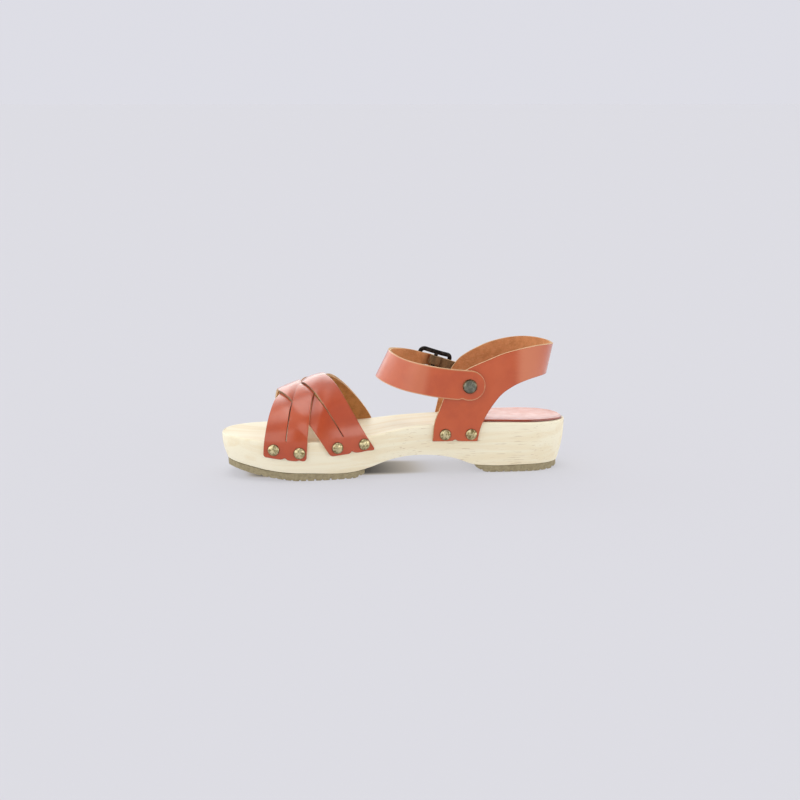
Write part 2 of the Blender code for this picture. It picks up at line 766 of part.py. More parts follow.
def path_tables(points, widths):
    """Tables of the points and width directions against the length along the path."""
    lengths = [0.0]
    for first, second in zip(points, points[1:]):
        lengths.append(lengths[-1] + (second - first).length)
    rows = [(length, *point, *width) for length, point, width in zip(lengths, points, widths)]
    return Table(("length", "x", "y", "z", "width_x", "width_y", "width_z"), rows), lengths[-1]


def strap_rows(length, half, rounded):
    """Lengths and half widths down a strap, drawn in at its rounded ends."""
    rows = []
    for angle in END_STEPS:
        turn = math.radians(angle)
        rows.append((half * (1.0 - math.cos(turn)), half * math.sin(turn)))
    ends = [(length - along, width) for along, width in reversed(rows)]
    start = half if rounded else 0.0
    straight = [(float(along), half) for along in np.linspace(start, length - half, STRAP_STEPS)]
    return (rows if rounded else []) + straight + ends


def ribbon(name, points, widths, half, rounded):
    """A leather strap along a path; rounded says whether its first end is round as the last one is."""
    table, length = path_tables(points, widths)

    def place(part, row):
        along, width = row
        middle = Vector([table.at(axis, along) for axis in ("x", "y", "z")])
        side = Vector([table.at(axis, along) for axis in ("width_x", "width_y", "width_z")])
        return middle + part * width * side.normalized()

    shape = sheet(STRAP_BREADTH, strap_rows(length, half, rounded), place)
    obj = finish(name, shape, "leather_terracotta")
    thicken(obj)
    return obj


def slot_cutter(name, first, last, low, high, half):
    """A box in the buckle's directions, to cut a slot for the prong."""
    shape = bmesh.new()
    bmesh.ops.create_cube(shape, size=1.0)
    for vert in shape.verts:
        along = first + (vert.co.x + 0.5) * (last - first)
        outward = low + (vert.co.z + 0.5) * (high - low)
        vert.co = at_buckle(along, 2.0 * vert.co.y * half, outward)
    return finish(name, shape, None)


def build_ankle_strap():
    points, widths = strap_path()
    strap = ribbon("ankle_strap", points, widths, STRAP_HALF, True)
    half = PRONG_RADIUS + PRONG_CLEARANCE
    combine(strap, slot_cutter("strap_slot", *PRONG_SLOT, *PRONG_SLOT_LEVELS, half), "DIFFERENCE")
    drill(strap, "strap_rivet_hole", [rivet_peg(INNER)])
    return strap


def build_buckle_tab():
    """The tab lies on the outer lug, rises to the buckle, folds round its centre bar and ends behind it."""
    across = buckle_axes()[1]
    points = [at_buckle(TAB_RETURN, 0.0, -TAB_LOOP)]
    for angle in range(-90, 91, 30):
        turn = math.radians(angle)
        points.append(at_buckle(TAB_LOOP * math.cos(turn), 0.0, TAB_LOOP * math.sin(turn)))
    points += [at_buckle(along, 0.0, outward) for along, outward in reversed(TAB_RUN)]
    lie = HEEL_HALF + TAB_LIE + SIDE_SHIFT
    for along in np.linspace(TAB_RUN[0][0] - TAB_DROP, TAB_REAR, TAB_STEPS):
        point = at_buckle(float(along), 0.0, 0.0)
        points.append(Vector((point.x, lie, point.z)))
    tab = ribbon("buckle_tab", points, [across] * len(points), TAB_HALF, False)
    half = PRONG_RADIUS + PRONG_CLEARANCE
    reach = TAB_LOOP + LEATHER
    combine(tab, slot_cutter("tab_slot", -reach, reach, -reach, reach, half), "DIFFERENCE")
    drill(tab, "tab_rivet_hole", [rivet_peg(OUTER)])
    return tab


def build_buckle_frame():
    """A bowed frame with round corners and a centre bar."""
    path = []
    for corner in range(4):
        middle_along = (BUCKLE_REACH - BUCKLE_CORNER) * (1.0 if corner in (0, 3) else -1.0)
        middle_across = (BUCKLE_SPAN - BUCKLE_CORNER) * (1.0 if corner in (0, 1) else -1.0)
        for step in range(4):
            turn = math.radians(90.0 * corner + 30.0 * step)
            round_along = middle_along + BUCKLE_CORNER * math.cos(turn)
            path.append((round_along, middle_across + BUCKLE_CORNER * math.sin(turn)))
        if corner in (0, 2):
            path += [(part * middle_along, path[-1][1]) for part in (0.5, 0.0, -0.5)]
    points = [at_buckle(along, span, BUCKLE_BOW * (along / BUCKLE_REACH) ** 2) for along, span in path]
    out = buckle_axes()[2]
    ring = tube(points, FRAME_RADIUS, BAR_SIDES, out, closed=True)
    frame = finish("buckle_frame", ring, "gunmetal", sharp_angle=50.0)
    ends = [at_buckle(0.0, -BUCKLE_SPAN, 0.0), at_buckle(0.0, BUCKLE_SPAN, 0.0)]
    combine(frame, finish("buckle_bar", tube(ends, BAR_RADIUS, BAR_SIDES, out), "gunmetal"), "UNION")
    return frame


def build_buckle_prong():
    """The prong hooks round the centre bar and rests on the front of the frame."""
    hook = []
    for angle in range(350, 100, -25):
        turn = math.radians(angle)
        hook.append((PRONG_HOOK * math.cos(turn), PRONG_HOOK * math.sin(turn)))
    points = [at_buckle(along, 0.0, outward) for along, outward in (*hook, *PRONG_RUN)]
    across = buckle_axes()[1]
    bar = tube(points, PRONG_RADIUS, BAR_SIDES, across)
    return finish("buckle_prong", bar, "gunmetal", sharp_angle=50.0)


# Rivets and nails


def rivet_peg(side):
    """The hole of a cap rivet through the strap or tab and the quarter."""
    middle = world(RIVET_STATION[side], side * (HEEL_HALF + LEATHER / 2.0), RIVET_HEIGHT[side])
    return middle, (0.0, side, 0.0), RIVET_POST + FIT_GAP, 3.0 * LEATHER


def build_rivet(side):
    """A domed cap outside, a post through the leather and a flat back inside."""
    back = HEEL_HALF - LEATHER / 2.0 - FIT_GAP
    front = HEEL_HALF + TAB_LIE + LEATHER / 2.0 + FIT_GAP
    rise = RIVET_RISE[side]
    profile = [(RIVET_CAP * radius, front + rise * height) for radius, height in RIVET_DOME]
    profile += [(RIVET_POST, front), (RIVET_POST, back), (RIVET_BACK, back)]
    profile += [(RIVET_BACK, back - RIVET_BACK_THICK), (0.0, back - RIVET_BACK_THICK)]
    middle = world(RIVET_STATION[side], 0.0, RIVET_HEIGHT[side])
    shape = turned(profile, RIVET_SIDES, middle, (0.0, side, 0.0))
    return finish(f"rivet_{SIDES[side]}", shape, "nickel_dark", sharp_angle=30.0)


def nail_place(row, side):
    """Where a nail meets the wooden wall, and the wall's outward direction there."""
    nail = dict(zip(NAIL_COLUMNS, NAIL_ROWS[row]))
    station = nail["station"] - (nail["outer_shift"] if side == OUTER else 0.0)
    height = nail["height"]
    normal = unit_normal(lambda s, z: wall_point(s, side, z), station, height)
    if normal.y * side < 0.0:
        normal = -normal
    return wall_point(station, side, height), normal


def nail_pegs(rows):
    """Holes for the shanks of some of the nails, on both sides."""
    pegs = []
    for row in rows:
        for side in SIDES:
            point, normal = nail_place(row, side)
            pegs.append((point, normal, NAIL_SHANK + FIT_GAP, NAIL_DEPTH + FIT_GAP))
    return pegs


def build_nail(row, side):
    """A domed head on the leather, with its shank in the wood."""
    point, normal = nail_place(row, side)
    base = LUG_GAP + LEATHER + FIT_GAP
    profile = [(NAIL_HEAD * radius, base + NAIL_RISE * height) for radius, height in NAIL_DOME]
    profile += [(NAIL_SHANK, base), (NAIL_SHANK, NAIL_POINT - NAIL_DEPTH), (0.0, -NAIL_DEPTH)]
    shape = turned(profile, NAIL_SIDES, point, normal)
    return finish(f"nail_{SIDES[side]}_{NAIL_NAMES[row]}", shape, "brass_antique", sharp_angle=35.0)


def main():
    for obj in list(bpy.data.objects):
        bpy.data.objects.remove(obj)
    build_sole()
    build_rubber("outsole_forefoot", FOREFOOT_TREAD)
    build_rubber("outsole_heel", HEEL_TREAD)
    build_heel_pad()
    build_vamp()
    build_quarter()
    build_ankle_strap()
    build_buckle_tab()
    build_buckle_frame()
    build_buckle_prong()
    for side in SIDES:
        build_rivet(side)
        for row in range(len(NAIL_ROWS)):
            build_nail(row, side)


main()
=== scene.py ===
# %% [markdown]
# # A wooden-soled sandal
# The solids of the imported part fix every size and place. This lesson gives each of them the surface of the
# real piece: sawn pale wood, a woven leather vamp, straps with raw cut edges, ribbed rubber and antique
# metal. Lengths are millimetres here, and each mesh is scaled to metres as it becomes a piece.

# %% Load the frame
import math

import bmesh
import bpy
import numpy as np
from mathutils import Matrix, Vector, kdtree

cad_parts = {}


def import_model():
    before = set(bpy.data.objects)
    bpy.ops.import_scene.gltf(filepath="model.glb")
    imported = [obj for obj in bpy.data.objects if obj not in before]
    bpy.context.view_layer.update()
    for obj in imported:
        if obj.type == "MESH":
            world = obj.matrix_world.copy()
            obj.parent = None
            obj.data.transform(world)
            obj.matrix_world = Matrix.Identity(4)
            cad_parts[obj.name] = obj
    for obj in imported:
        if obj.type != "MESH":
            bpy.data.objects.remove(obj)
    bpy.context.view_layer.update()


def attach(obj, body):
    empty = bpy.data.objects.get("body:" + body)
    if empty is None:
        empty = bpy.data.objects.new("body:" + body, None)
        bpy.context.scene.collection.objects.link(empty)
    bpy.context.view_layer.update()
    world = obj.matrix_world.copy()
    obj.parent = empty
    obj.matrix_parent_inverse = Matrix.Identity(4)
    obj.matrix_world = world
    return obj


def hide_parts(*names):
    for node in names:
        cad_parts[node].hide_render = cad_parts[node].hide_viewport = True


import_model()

MM = 0.001
INNER = -1
OUTER = 1
SIDES = {INNER: "inner", OUTER: "outer"}

# %% [markdown]
# ## Camera
# The photograph looks at the inner side of a right sandal, a little from the toe's side and a little from
# above. A long lens keeps the sole's lines nearly level.

# %% Camera
CAMERA_TURN = math.radians(-6.5)
CAMERA_RISE = math.radians(9.7)
CAMERA_REACH = 1.3
CAMERA_TARGET = Vector((0.0043, -0.0001, 0.0500))
LENS_MM = 80.0
SENSOR_MM = 36.0

back = Vector(
    (
        math.sin(CAMERA_TURN) * math.cos(CAMERA_RISE),
        -math.cos(CAMERA_TURN) * math.cos(CAMERA_RISE),
        math.sin(CAMERA_RISE),
    )
)
camera_data = bpy.data.cameras.new("photo_camera")
camera_data.lens = LENS_MM
camera_data.sensor_width = SENSOR_MM
camera = bpy.data.objects.new("photo_camera", camera_data)
camera.location = CAMERA_TARGET + CAMERA_REACH * back
camera.rotation_mode = "QUATERNION"
camera.rotation_quaternion = back.to_track_quat("Z", "Y")
bpy.context.scene.collection.objects.link(camera)
bpy.context.scene.camera = camera
bpy.context.scene.view_settings.view_transform = "Standard"
print("camera at", [round(value, 3) for value in camera.location])

# %% [markdown]
# ## Working with nodes
# Every finish is a small node tree on Object coordinates, which are metres, so a scale of 1000 gives
# features of about a millimetre. A few helpers keep the trees readable: one makes the material, the others
# add one node each.


# %% Node helpers
def new_finish(name, roughness, metallic=0.0):
    """A material with its Principled shader, its node tree and its Object coordinates."""
    material = bpy.data.materials.new(name)
    material.use_nodes = True
    tree = material.node_tree
    shader = tree.nodes["Principled BSDF"]
    shader.inputs["Roughness"].default_value = roughness
    shader.inputs["Metallic"].default_value = metallic
    where = tree.nodes.new("ShaderNodeTexCoord").outputs["Object"]
    return material, tree, shader, where


def stretched(tree, where, scale):
    """Coordinates scaled by a different amount along each axis."""
    node = tree.nodes.new("ShaderNodeMapping")
    node.inputs["Scale"].default_value = scale
    tree.links.new(where, node.inputs["Vector"])
    return node.outputs["Vector"]


def noise(tree, where, scale, detail=4.0, roughness=0.55, distortion=0.0):
    """Cloudy grey values."""
    node = tree.nodes.new("ShaderNodeTexNoise")
    node.inputs["Scale"].default_value = scale
    node.inputs["Detail"].default_value = detail
    node.inputs["Roughness"].default_value = roughness
    node.inputs["Distortion"].default_value = distortion
    tree.links.new(where, node.inputs["Vector"])
    return node.outputs[0]


def cells(tree, where, scale):
    """Pebbles with valleys between them, as in the grain of a hide."""
    node = tree.nodes.new("ShaderNodeTexVoronoi")
    node.feature = "DISTANCE_TO_EDGE"
    node.inputs["Scale"].default_value = scale
    tree.links.new(where, node.inputs["Vector"])
    return node.outputs["Distance"]


def spread(tree, value, low, high, to_low=0.0, to_high=1.0):
    """A value's range from low to high, opened out to another range."""
    node = tree.nodes.new("ShaderNodeMapRange")
    node.interpolation_type = "SMOOTHSTEP"
    node.inputs["From Min"].default_value = low
    node.inputs["From Max"].default_value = high
    node.inputs["To Min"].default_value = to_low
    node.inputs["To Max"].default_value = to_high
    tree.links.new(value, node.inputs["Value"])
    return node.outputs["Result"]


def tint(tree, share, first, second):
    """A colour or colour socket blended into another by a grey value."""
    node = tree.nodes.new("ShaderNodeMix")
    node.data_type = "RGBA"
    tree.links.new(share, node.inputs[0])
    for socket, colour in ((node.inputs[6], first), (node.inputs[7], second)):
        if isinstance(colour, bpy.types.NodeSocket):
            tree.links.new(colour, socket)
        else:
            socket.default_value = (*colour, 1.0)
    return node.outputs[2]


def reckon(tree, operation, first, second=0.0):
    """One sum on grey values or numbers."""
    node = tree.nodes.new("ShaderNodeMath")
    node.operation = operation
    for socket, value in zip(node.inputs, (first, second)):
        if isinstance(value, bpy.types.NodeSocket):
            tree.links.new(value, socket)
        else:
            socket.default_value = value
    return node.outputs[0]


def attribute(tree, name):
    """A number that the mesh carries at its points."""
    node = tree.nodes.new("ShaderNodeAttribute")
    node.attribute_name = name
    return node.outputs["Fac"]


def bumped(tree, height, strength, depth_mm, normal=None):
    """A normal tilted by a height."""
    node = tree.nodes.new("ShaderNodeBump")
    node.inputs["Strength"].default_value = strength
    node.inputs["Distance"].default_value = depth_mm * MM
    tree.links.new(height, node.inputs["Height"])
    if normal:
        tree.links.new(normal, node.inputs["Normal"])
    return node.outputs["Normal"]


def wire(tree, shader, colour=None, roughness=None, normal=None):
    """Joins finished values to the shader."""
    for name, value in (("Base Color", colour), ("Roughness", roughness), ("Normal", normal)):
        if value:
            tree.links.new(value, shader.inputs[name])


print("node helpers ready")

# %% [markdown]
# ## Light
# The leather's highlights say how the room was lit: surfaces that face a little to either side are pale,
# those that face the near side are deep in colour. So two broad windows stood left and right, with a darker
# gap between them that lies a little to the heel's side. A bright ceiling panel hung to the toe's side, and
# more light came from behind the sandal, above the far wall. Lamps near the sandal would leave the floor
# uneven, so the world itself carries this pattern by direction. The far wall is one even tone.

# %% World
WALL_COLOUR = (0.728, 0.728, 0.786)
LIGHT_COLOUR = (0.720, 0.712, 0.700)
WALL_TOP = (0.05, 0.12)
ROOM_LEVEL = 0.94
GAP_MIDDLE = math.radians(8.0)
GAP_EDGE = (math.radians(13.0), math.radians(18.0))
GAP_LEVEL = 0.30
SIDE_BLEND = (-0.1, 0.1)
WINDOW_END = (math.radians(112.0), math.radians(140.0))
TOE_WINDOW_TOP = (0.50, 0.70)
HEEL_WINDOW_TOP = (0.20, 0.38)
TOE_GAIN = 1.65
HEEL_GAIN = 3.2
CEILING_EDGE = (0.84, 0.97)
CEILING_TOE = (-0.46, -0.24)
CEILING_HEEL = (-0.10, 0.12)
CEILING_TOE_SHARE = 0.4
CEILING_HEEL_SHARE = -0.12
CEILING_GAIN = 3.3
BACK_EDGE = (math.radians(112.0), math.radians(140.0))
BACK_TOP = (0.52, 0.85)
BACK_GAIN = 1.55

room = bpy.data.worlds.new("pale_room")
room.use_nodes = True
tree = room.node_tree
axes = tree.nodes.new("ShaderNodeSeparateXYZ")
tree.links.new(tree.nodes.new("ShaderNodeTexCoord").outputs["Generated"], axes.inputs[0])
height = axes.outputs["Z"]
turn = reckon(tree, "ARCTAN2", axes.outputs["X"], reckon(tree, "MULTIPLY", axes.outputs["Y"], -1.0))
away = reckon(tree, "ABSOLUTE", turn)
from_gap = reckon(tree, "ABSOLUTE", reckon(tree, "SUBTRACT", turn, GAP_MIDDLE))
window_reach = spread(tree, away, *WINDOW_END, 1.0, 0.0)
window = reckon(tree, "MULTIPLY", spread(tree, from_gap, *GAP_EDGE), window_reach)
toe_side = spread(tree, turn, *SIDE_BLEND, TOE_GAIN, 0.0)
heel_side = spread(tree, turn, *SIDE_BLEND, 0.0, HEEL_GAIN)
toe_side = reckon(tree, "MULTIPLY", toe_side, spread(tree, height, *TOE_WINDOW_TOP, 1.0, 0.0))
heel_side = reckon(tree, "MULTIPLY", heel_side, spread(tree, height, *HEEL_WINDOW_TOP, 1.0, 0.0))
window = reckon(tree, "MULTIPLY", window, reckon(tree, "ADD", toe_side, heel_side))
back_lamps = spread(tree, height, *BACK_TOP, BACK_GAIN, 0.0)
behind = reckon(tree, "MULTIPLY", spread(tree, away, *BACK_EDGE), back_lamps)
panel_toe = spread(tree, axes.outputs["X"], *CEILING_TOE, CEILING_TOE_SHARE, 1.0)
panel_heel = spread(tree, axes.outputs["X"], *CEILING_HEEL, 1.0, CEILING_HEEL_SHARE)
panel = reckon(tree, "MULTIPLY", panel_toe, panel_heel)
ceiling = reckon(tree, "MULTIPLY", panel, spread(tree, height, *CEILING_EDGE, 0.0, CEILING_GAIN))
lamps = reckon(tree, "ADD", reckon(tree, "ADD", window, behind), ceiling)
level = reckon(tree, "ADD", spread(tree, from_gap, *GAP_EDGE, GAP_LEVEL, ROOM_LEVEL), lamps)
below_top = reckon(tree, "SUBTRACT", 1.0, spread(tree, height, *WALL_TOP))
far_wall = reckon(tree, "MULTIPLY", spread(tree, away, *BACK_EDGE), below_top)
wall_step = reckon(tree, "MULTIPLY", far_wall, reckon(tree, "SUBTRACT", 1.0, level))
sky = tree.nodes["Background"]
tree.links.new(tint(tree, far_wall, LIGHT_COLOUR, WALL_COLOUR), sky.inputs["Color"])
tree.links.new(reckon(tree, "ADD", level, wall_step), sky.inputs["Strength"])
bpy.context.scene.world = room
print("world:", room.name)

# %% [markdown]
# ## Leather
# The hide is dyed through in terracotta and finished with a thin gloss, so it has three faces that look
# different: the smooth grain outside, the napped flesh side inside and the raw cut edge. One material could
# find them by the normal, but three materials on three sets of faces say it more simply, and Solidify sets
# those sets by itself. The leather meshes carry three numbers: rim is the distance from the cut edge, where
# the dye is deeper, or worn pale on the ankle strap; the second marks a painted highlight, paler zones where
# the leather bends round the foot; slit marks cut edges that lie close to another strip and get painted
# shade.

# %% Grain side
HIDE_DEEP = (0.475, 0.064, 0.011)
HIDE_MIDDLE = (0.530, 0.080, 0.014)
HIDE_LIGHT = (0.580, 0.105, 0.026)
HIDE_RIM = (0.260, 0.030, 0.008)
VAMP_DEEP = (0.415, 0.046, 0.009)
VAMP_MIDDLE_TONE = (0.463, 0.058, 0.011)
VAMP_LIGHT = (0.520, 0.080, 0.020)
WORN_RIM = (0.620, 0.330, 0.160)
# Pale tone of the painted highlight where the leather bends round the foot
HIDE_PAINTED_HIGHLIGHT = (0.615, 0.172, 0.076)
HIDE_GLOSS = 0.40
VAMP_GLOSS = 0.38
WORN_SHARE = 0.9
COAT_ROUGHNESS = 0.15
SHINE_LEVEL = 0.6
SHINE_TINT = (1.0, 0.78, 0.60)


def grain_leather(name, deep, middle, light, rim, gloss, burnished=0.3, coat=0.9):
    """Smooth grain with cloudy dye, fine pores, a painted highlight and a line of its own along the cut
    edge.
    """
    material, tree, shader, where = new_finish(name, 0.4)
    clouds = noise(tree, where, scale=55.0, detail=5.0, roughness=0.6)
    colour = tint(tree, spread(tree, clouds, 0.36, 0.62), deep, middle)
    rubbed = spread(tree, noise(tree, where, scale=24.0, detail=3.0, roughness=0.5), 0.48, 0.72, 0.0, 0.55)
    colour = tint(tree, rubbed, colour, light)
    pores = spread(tree, noise(tree, where, scale=900.0, detail=3.0, roughness=0.7), 0.30, 0.44, 0.25, 0.0)
    colour = tint(tree, pores, colour, deep)
    # painted highlight: the zones that the mesh marks are tinted paler
    colour = tint(tree, attribute(tree, "painted_highlight"), colour, HIDE_PAINTED_HIGHLIGHT)
    burnish = spread(tree, attribute(tree, "rim"), 0.1, 1.0, burnished, 0.0)
    colour = tint(tree, burnish, colour, rim)
    handled = noise(tree, where, scale=130.0, detail=4.0, roughness=0.6)
    sheen = spread(tree, handled, 0.3, 0.7, gloss - 0.06, gloss + 0.1)
    pebbles = bumped(tree, cells(tree, where, 1500.0), strength=0.10, depth_mm=0.10)
    creases = noise(tree, where, scale=160.0, detail=3.0, roughness=0.5)
    normal = bumped(tree, creases, strength=0.10, depth_mm=0.5, normal=pebbles)
    wire(tree, shader, colour, sheen, normal)
    shader.inputs["Coat Weight"].default_value = coat
    shader.inputs["Coat Roughness"].default_value = COAT_ROUGHNESS
    shader.inputs["Specular IOR Level"].default_value = SHINE_LEVEL
    shader.inputs["Specular Tint"].default_value = (*SHINE_TINT, 1.0)
    return material


hide_grain = grain_leather("hide_grain", HIDE_DEEP, HIDE_MIDDLE, HIDE_LIGHT, HIDE_RIM, HIDE_GLOSS)
vamp_grain = grain_leather("vamp_grain", VAMP_DEEP, VAMP_MIDDLE_TONE, VAMP_LIGHT, HIDE_RIM, VAMP_GLOSS)
strap_grain = grain_leather(
    "strap_grain", HIDE_DEEP, HIDE_MIDDLE, HIDE_LIGHT, WORN_RIM, HIDE_GLOSS, WORN_SHARE
)
print("grain side:", hide_grain.name, vamp_grain.name, strap_grain.name)

# %% Flesh side
FLESH_DARK = (0.460, 0.178, 0.062)
FLESH_MIDDLE = (0.578, 0.240, 0.094)
FLESH_LIGHT = (0.680, 0.355, 0.168)
VAMP_FLESH_DARK = (0.360, 0.140, 0.033)
VAMP_FLESH_MIDDLE = (0.515, 0.222, 0.065)
VAMP_FLESH_LIGHT = (0.600, 0.320, 0.115)
# Painted shade: the tab's flesh is much darker than the other flesh, as it lies in shade inside the buckle
TAB_SHADE_DARK = (0.090, 0.050, 0.022)
TAB_SHADE_MIDDLE = (0.200, 0.110, 0.048)
TAB_SHADE_LIGHT = (0.300, 0.190, 0.090)
FIBRE_STRETCH = (500.0, 1500.0, 1500.0)
NAP_WEIGHT = 0.25
NAP_ROUGHNESS = 0.6
NAP_TINT = (0.9, 0.65, 0.4)


def napped_leather(name, dark, middle, light):
    """Short fibres over cloudy brown."""
    material, tree, shader, where = new_finish(name, 0.92)
    clouds = noise(tree, where, scale=160.0, detail=6.0, roughness=0.7)
    colour = tint(tree, spread(tree, clouds, 0.35, 0.62), dark, middle)
    along_fibres = stretched(tree, where, FIBRE_STRETCH)
    fibres = noise(tree, along_fibres, scale=1.0, detail=4.0, roughness=0.7)
    colour = tint(tree, spread(tree, fibres, 0.5, 0.75, 0.0, 0.7), colour, light)
    wire(tree, shader, colour, None, bumped(tree, fibres, strength=0.45, depth_mm=0.25))
    shader.inputs["Sheen Weight"].default_value = NAP_WEIGHT
    shader.inputs["Sheen Roughness"].default_value = NAP_ROUGHNESS
    shader.inputs["Sheen Tint"].default_value = (*NAP_TINT, 1.0)
    return material


hide_flesh = napped_leather("hide_flesh", FLESH_DARK, FLESH_MIDDLE, FLESH_LIGHT)
vamp_flesh = napped_leather("vamp_flesh", VAMP_FLESH_DARK, VAMP_FLESH_MIDDLE, VAMP_FLESH_LIGHT)
tab_flesh_shaded = napped_leather("tab_flesh_shaded", TAB_SHADE_DARK, TAB_SHADE_MIDDLE, TAB_SHADE_LIGHT)
print("flesh side:", hide_flesh.name, vamp_flesh.name, tab_flesh_shaded.name)

# %% Cut edge
EDGE_DARK = (0.360, 0.175, 0.075)
EDGE_LIGHT = (0.700, 0.480, 0.270)
EDGE_SLIT_SHADE = (0.040, 0.014, 0.008)

hide_edge, tree, shader, where = new_finish("hide_edge", 0.85)
fray = noise(tree, where, scale=1500.0, detail=4.0, roughness=0.7)
colour = tint(tree, spread(tree, fray, 0.34, 0.58), EDGE_DARK, EDGE_LIGHT)
# painted shade: cut edges marked as lying close against another strip are darkened
colour = tint(tree, attribute(tree, "slit"), colour, EDGE_SLIT_SHADE)
wire(tree, shader, colour, None, bumped(tree, fray, strength=0.4, depth_mm=0.2))
print("cut edge:", hide_edge.name)

# %% [markdown]
# ## Wood
# The sole is sawn from one pale close-grained board, sanded and barely lacquered. Its grain runs along the
# foot, so the pores show on the sides as short level dashes and at the toe and the heel as dots. Noise that
# is stretched along X gives both by itself. The growth rings are long thin clouds of it, and the pores are
# much finer ones.

# %% Wood finish
WOOD_PALE = (0.915, 0.850, 0.655)
WOOD_RING = (0.870, 0.770, 0.550)
WOOD_PORE = (0.520, 0.375, 0.215)
WOOD_FLAKE = (0.920, 0.865, 0.695)
RING_STRETCH = (5.0, 95.0, 150.0)
FLAKE_STRETCH = (28.0, 260.0, 420.0)
PORE_STRETCH = (75.0, 1250.0, 1900.0)
PATCH_STRETCH = (14.0, 40.0, 40.0)
PORE_START = (-0.075, -0.015)
PORE_END = (0.082, 0.112)
LACQUER = 0.06
LACQUER_ROUGHNESS = 0.35

pale_wood, tree, shader, where = new_finish("pale_wood", 0.5)
along_rings = stretched(tree, where, RING_STRETCH)
rings = noise(tree, along_rings, scale=1.0, detail=4.0, roughness=0.5, distortion=0.6)
colour = tint(tree, spread(tree, rings, 0.40, 0.66), WOOD_PALE, WOOD_RING)
along_flakes = stretched(tree, where, FLAKE_STRETCH)
flakes = noise(tree, along_flakes, scale=1.0, detail=3.0, roughness=0.6)
colour = tint(tree, spread(tree, flakes, 0.55, 0.75, 0.0, 0.6), colour, WOOD_FLAKE)
along_pores = stretched(tree, where, PORE_STRETCH)
pores = noise(tree, along_pores, scale=1.0, detail=2.0, roughness=0.5)
dashes = spread(tree, pores, 0.61, 0.69)
in_patches = stretched(tree, where, PATCH_STRETCH)
patches = spread(tree, noise(tree, in_patches, scale=1.0, detail=2.0), 0.42, 0.62, 0.1, 0.75)
dashes = reckon(tree, "MULTIPLY", dashes, patches)
axes = tree.nodes.new("ShaderNodeSeparateXYZ")
tree.links.new(where, axes.inputs[0])
dashes = reckon(tree, "MULTIPLY", dashes, spread(tree, axes.outputs["X"], *PORE_START, 0.2, 1.0))
dashes = reckon(tree, "MULTIPLY", dashes, spread(tree, axes.outputs["X"], *PORE_END, 1.0, 0.4))
colour = tint(tree, dashes, colour, WOOD_PORE)
matt = spread(tree, rings, 0.3, 0.7, 0.46, 0.60)
furrows = bumped(tree, dashes, strength=-0.25, depth_mm=0.15)
normal = bumped(tree, flakes, strength=0.08, depth_mm=0.3, normal=furrows)
wire(tree, shader, colour, matt, normal)
shader.inputs["Coat Weight"].default_value = LACQUER
shader.inputs["Coat Roughness"].default_value = LACQUER_ROUGHNESS
print("wood:", pale_wood.name)

# %% [markdown]
# ## Rubber and metal
# The treads are grey-beige crepe rubber, dull and slightly speckled. The nails are antique brass: plated,
# then darkened and rubbed back, which leaves bright high spots over a brown ground. The rivet caps are dark
# nickel with a bronze ring round the foot of the dome, and the buckle is blackened steel that shines a
# little where it is rubbed.

# %% Rubber finish
RUBBER_DARK = (0.265, 0.220, 0.125)
RUBBER_LIGHT = (0.370, 0.310, 0.190)

crepe_rubber, tree, shader, where = new_finish("crepe_rubber", 0.85)
speckle = noise(tree, where, scale=420.0, detail=4.0, roughness=0.7)
colour = tint(tree, spread(tree, speckle, 0.35, 0.65), RUBBER_DARK, RUBBER_LIGHT)
dull = spread(tree, speckle, 0.3, 0.7, 0.75, 0.92)
wire(tree, shader, colour, dull, bumped(tree, speckle, strength=0.3, depth_mm=0.2))
print("rubber:", crepe_rubber.name)


# %% Metal finishes
def mottled_metal(name, dark, bright, low, high, roughness, scale, depth_mm):
    """Plating that is dark in the hollows and bright where it is rubbed."""
    material, tree, shader, where = new_finish(name, roughness, 1.0)
    mottle = noise(tree, where, scale, 4.0, 0.65)
    colour = tint(tree, spread(tree, mottle, low, high), dark, bright)
    dull = spread(tree, mottle, low, high, roughness + 0.18, roughness - 0.06)
    wire(tree, shader, colour, dull, bumped(tree, mottle, strength=0.5, depth_mm=depth_mm))
    return material


antique_brass = mottled_metal(
    "antique_brass",
    dark=(0.230, 0.185, 0.080),
    bright=(0.700, 0.610, 0.360),
    low=0.36,
    high=0.60,
    roughness=0.42,
    scale=520.0,
    depth_mm=0.35,
)
dark_nickel = mottled_metal(
    "dark_nickel",
    dark=(0.130, 0.135, 0.105),
    bright=(0.255, 0.255, 0.200),
    low=0.35,
    high=0.65,
    roughness=0.30,
    scale=300.0,
    depth_mm=0.05,
)
# Bronze ring of the rivets; on the nail heads a dark edge ring, partly painted contact shadow
bronze_ring_and_nail_shade = mottled_metal(
    "bronze_ring_and_nail_shade",
    dark=(0.075, 0.050, 0.028),
    bright=(0.300, 0.205, 0.105),
    low=0.35,
    high=0.65,
    roughness=0.40,
    scale=400.0,
    depth_mm=0.1,
)
black_steel = mottled_metal(
    "black_steel",
    dark=(0.020, 0.018, 0.018),
    bright=(0.070, 0.058, 0.048),
    low=0.42,
    high=0.70,
    roughness=0.42,
    scale=260.0,
    depth_mm=0.1,
)
print("metals:", antique_brass.name, dark_nickel.name, bronze_ring_and_nail_shade.name, black_steel.name)

# %% [markdown]
# ## Templates
# A shoemaker works from templates: an outline for the sole, heights for its rim and its underside, edges
# for each piece of leather. Here a template is a short table, with a smooth curve through its rows. Nearly
# all of them are the tables that the solids were built from, so each piece lands where its solid stands, to
# about 2 mm at most.


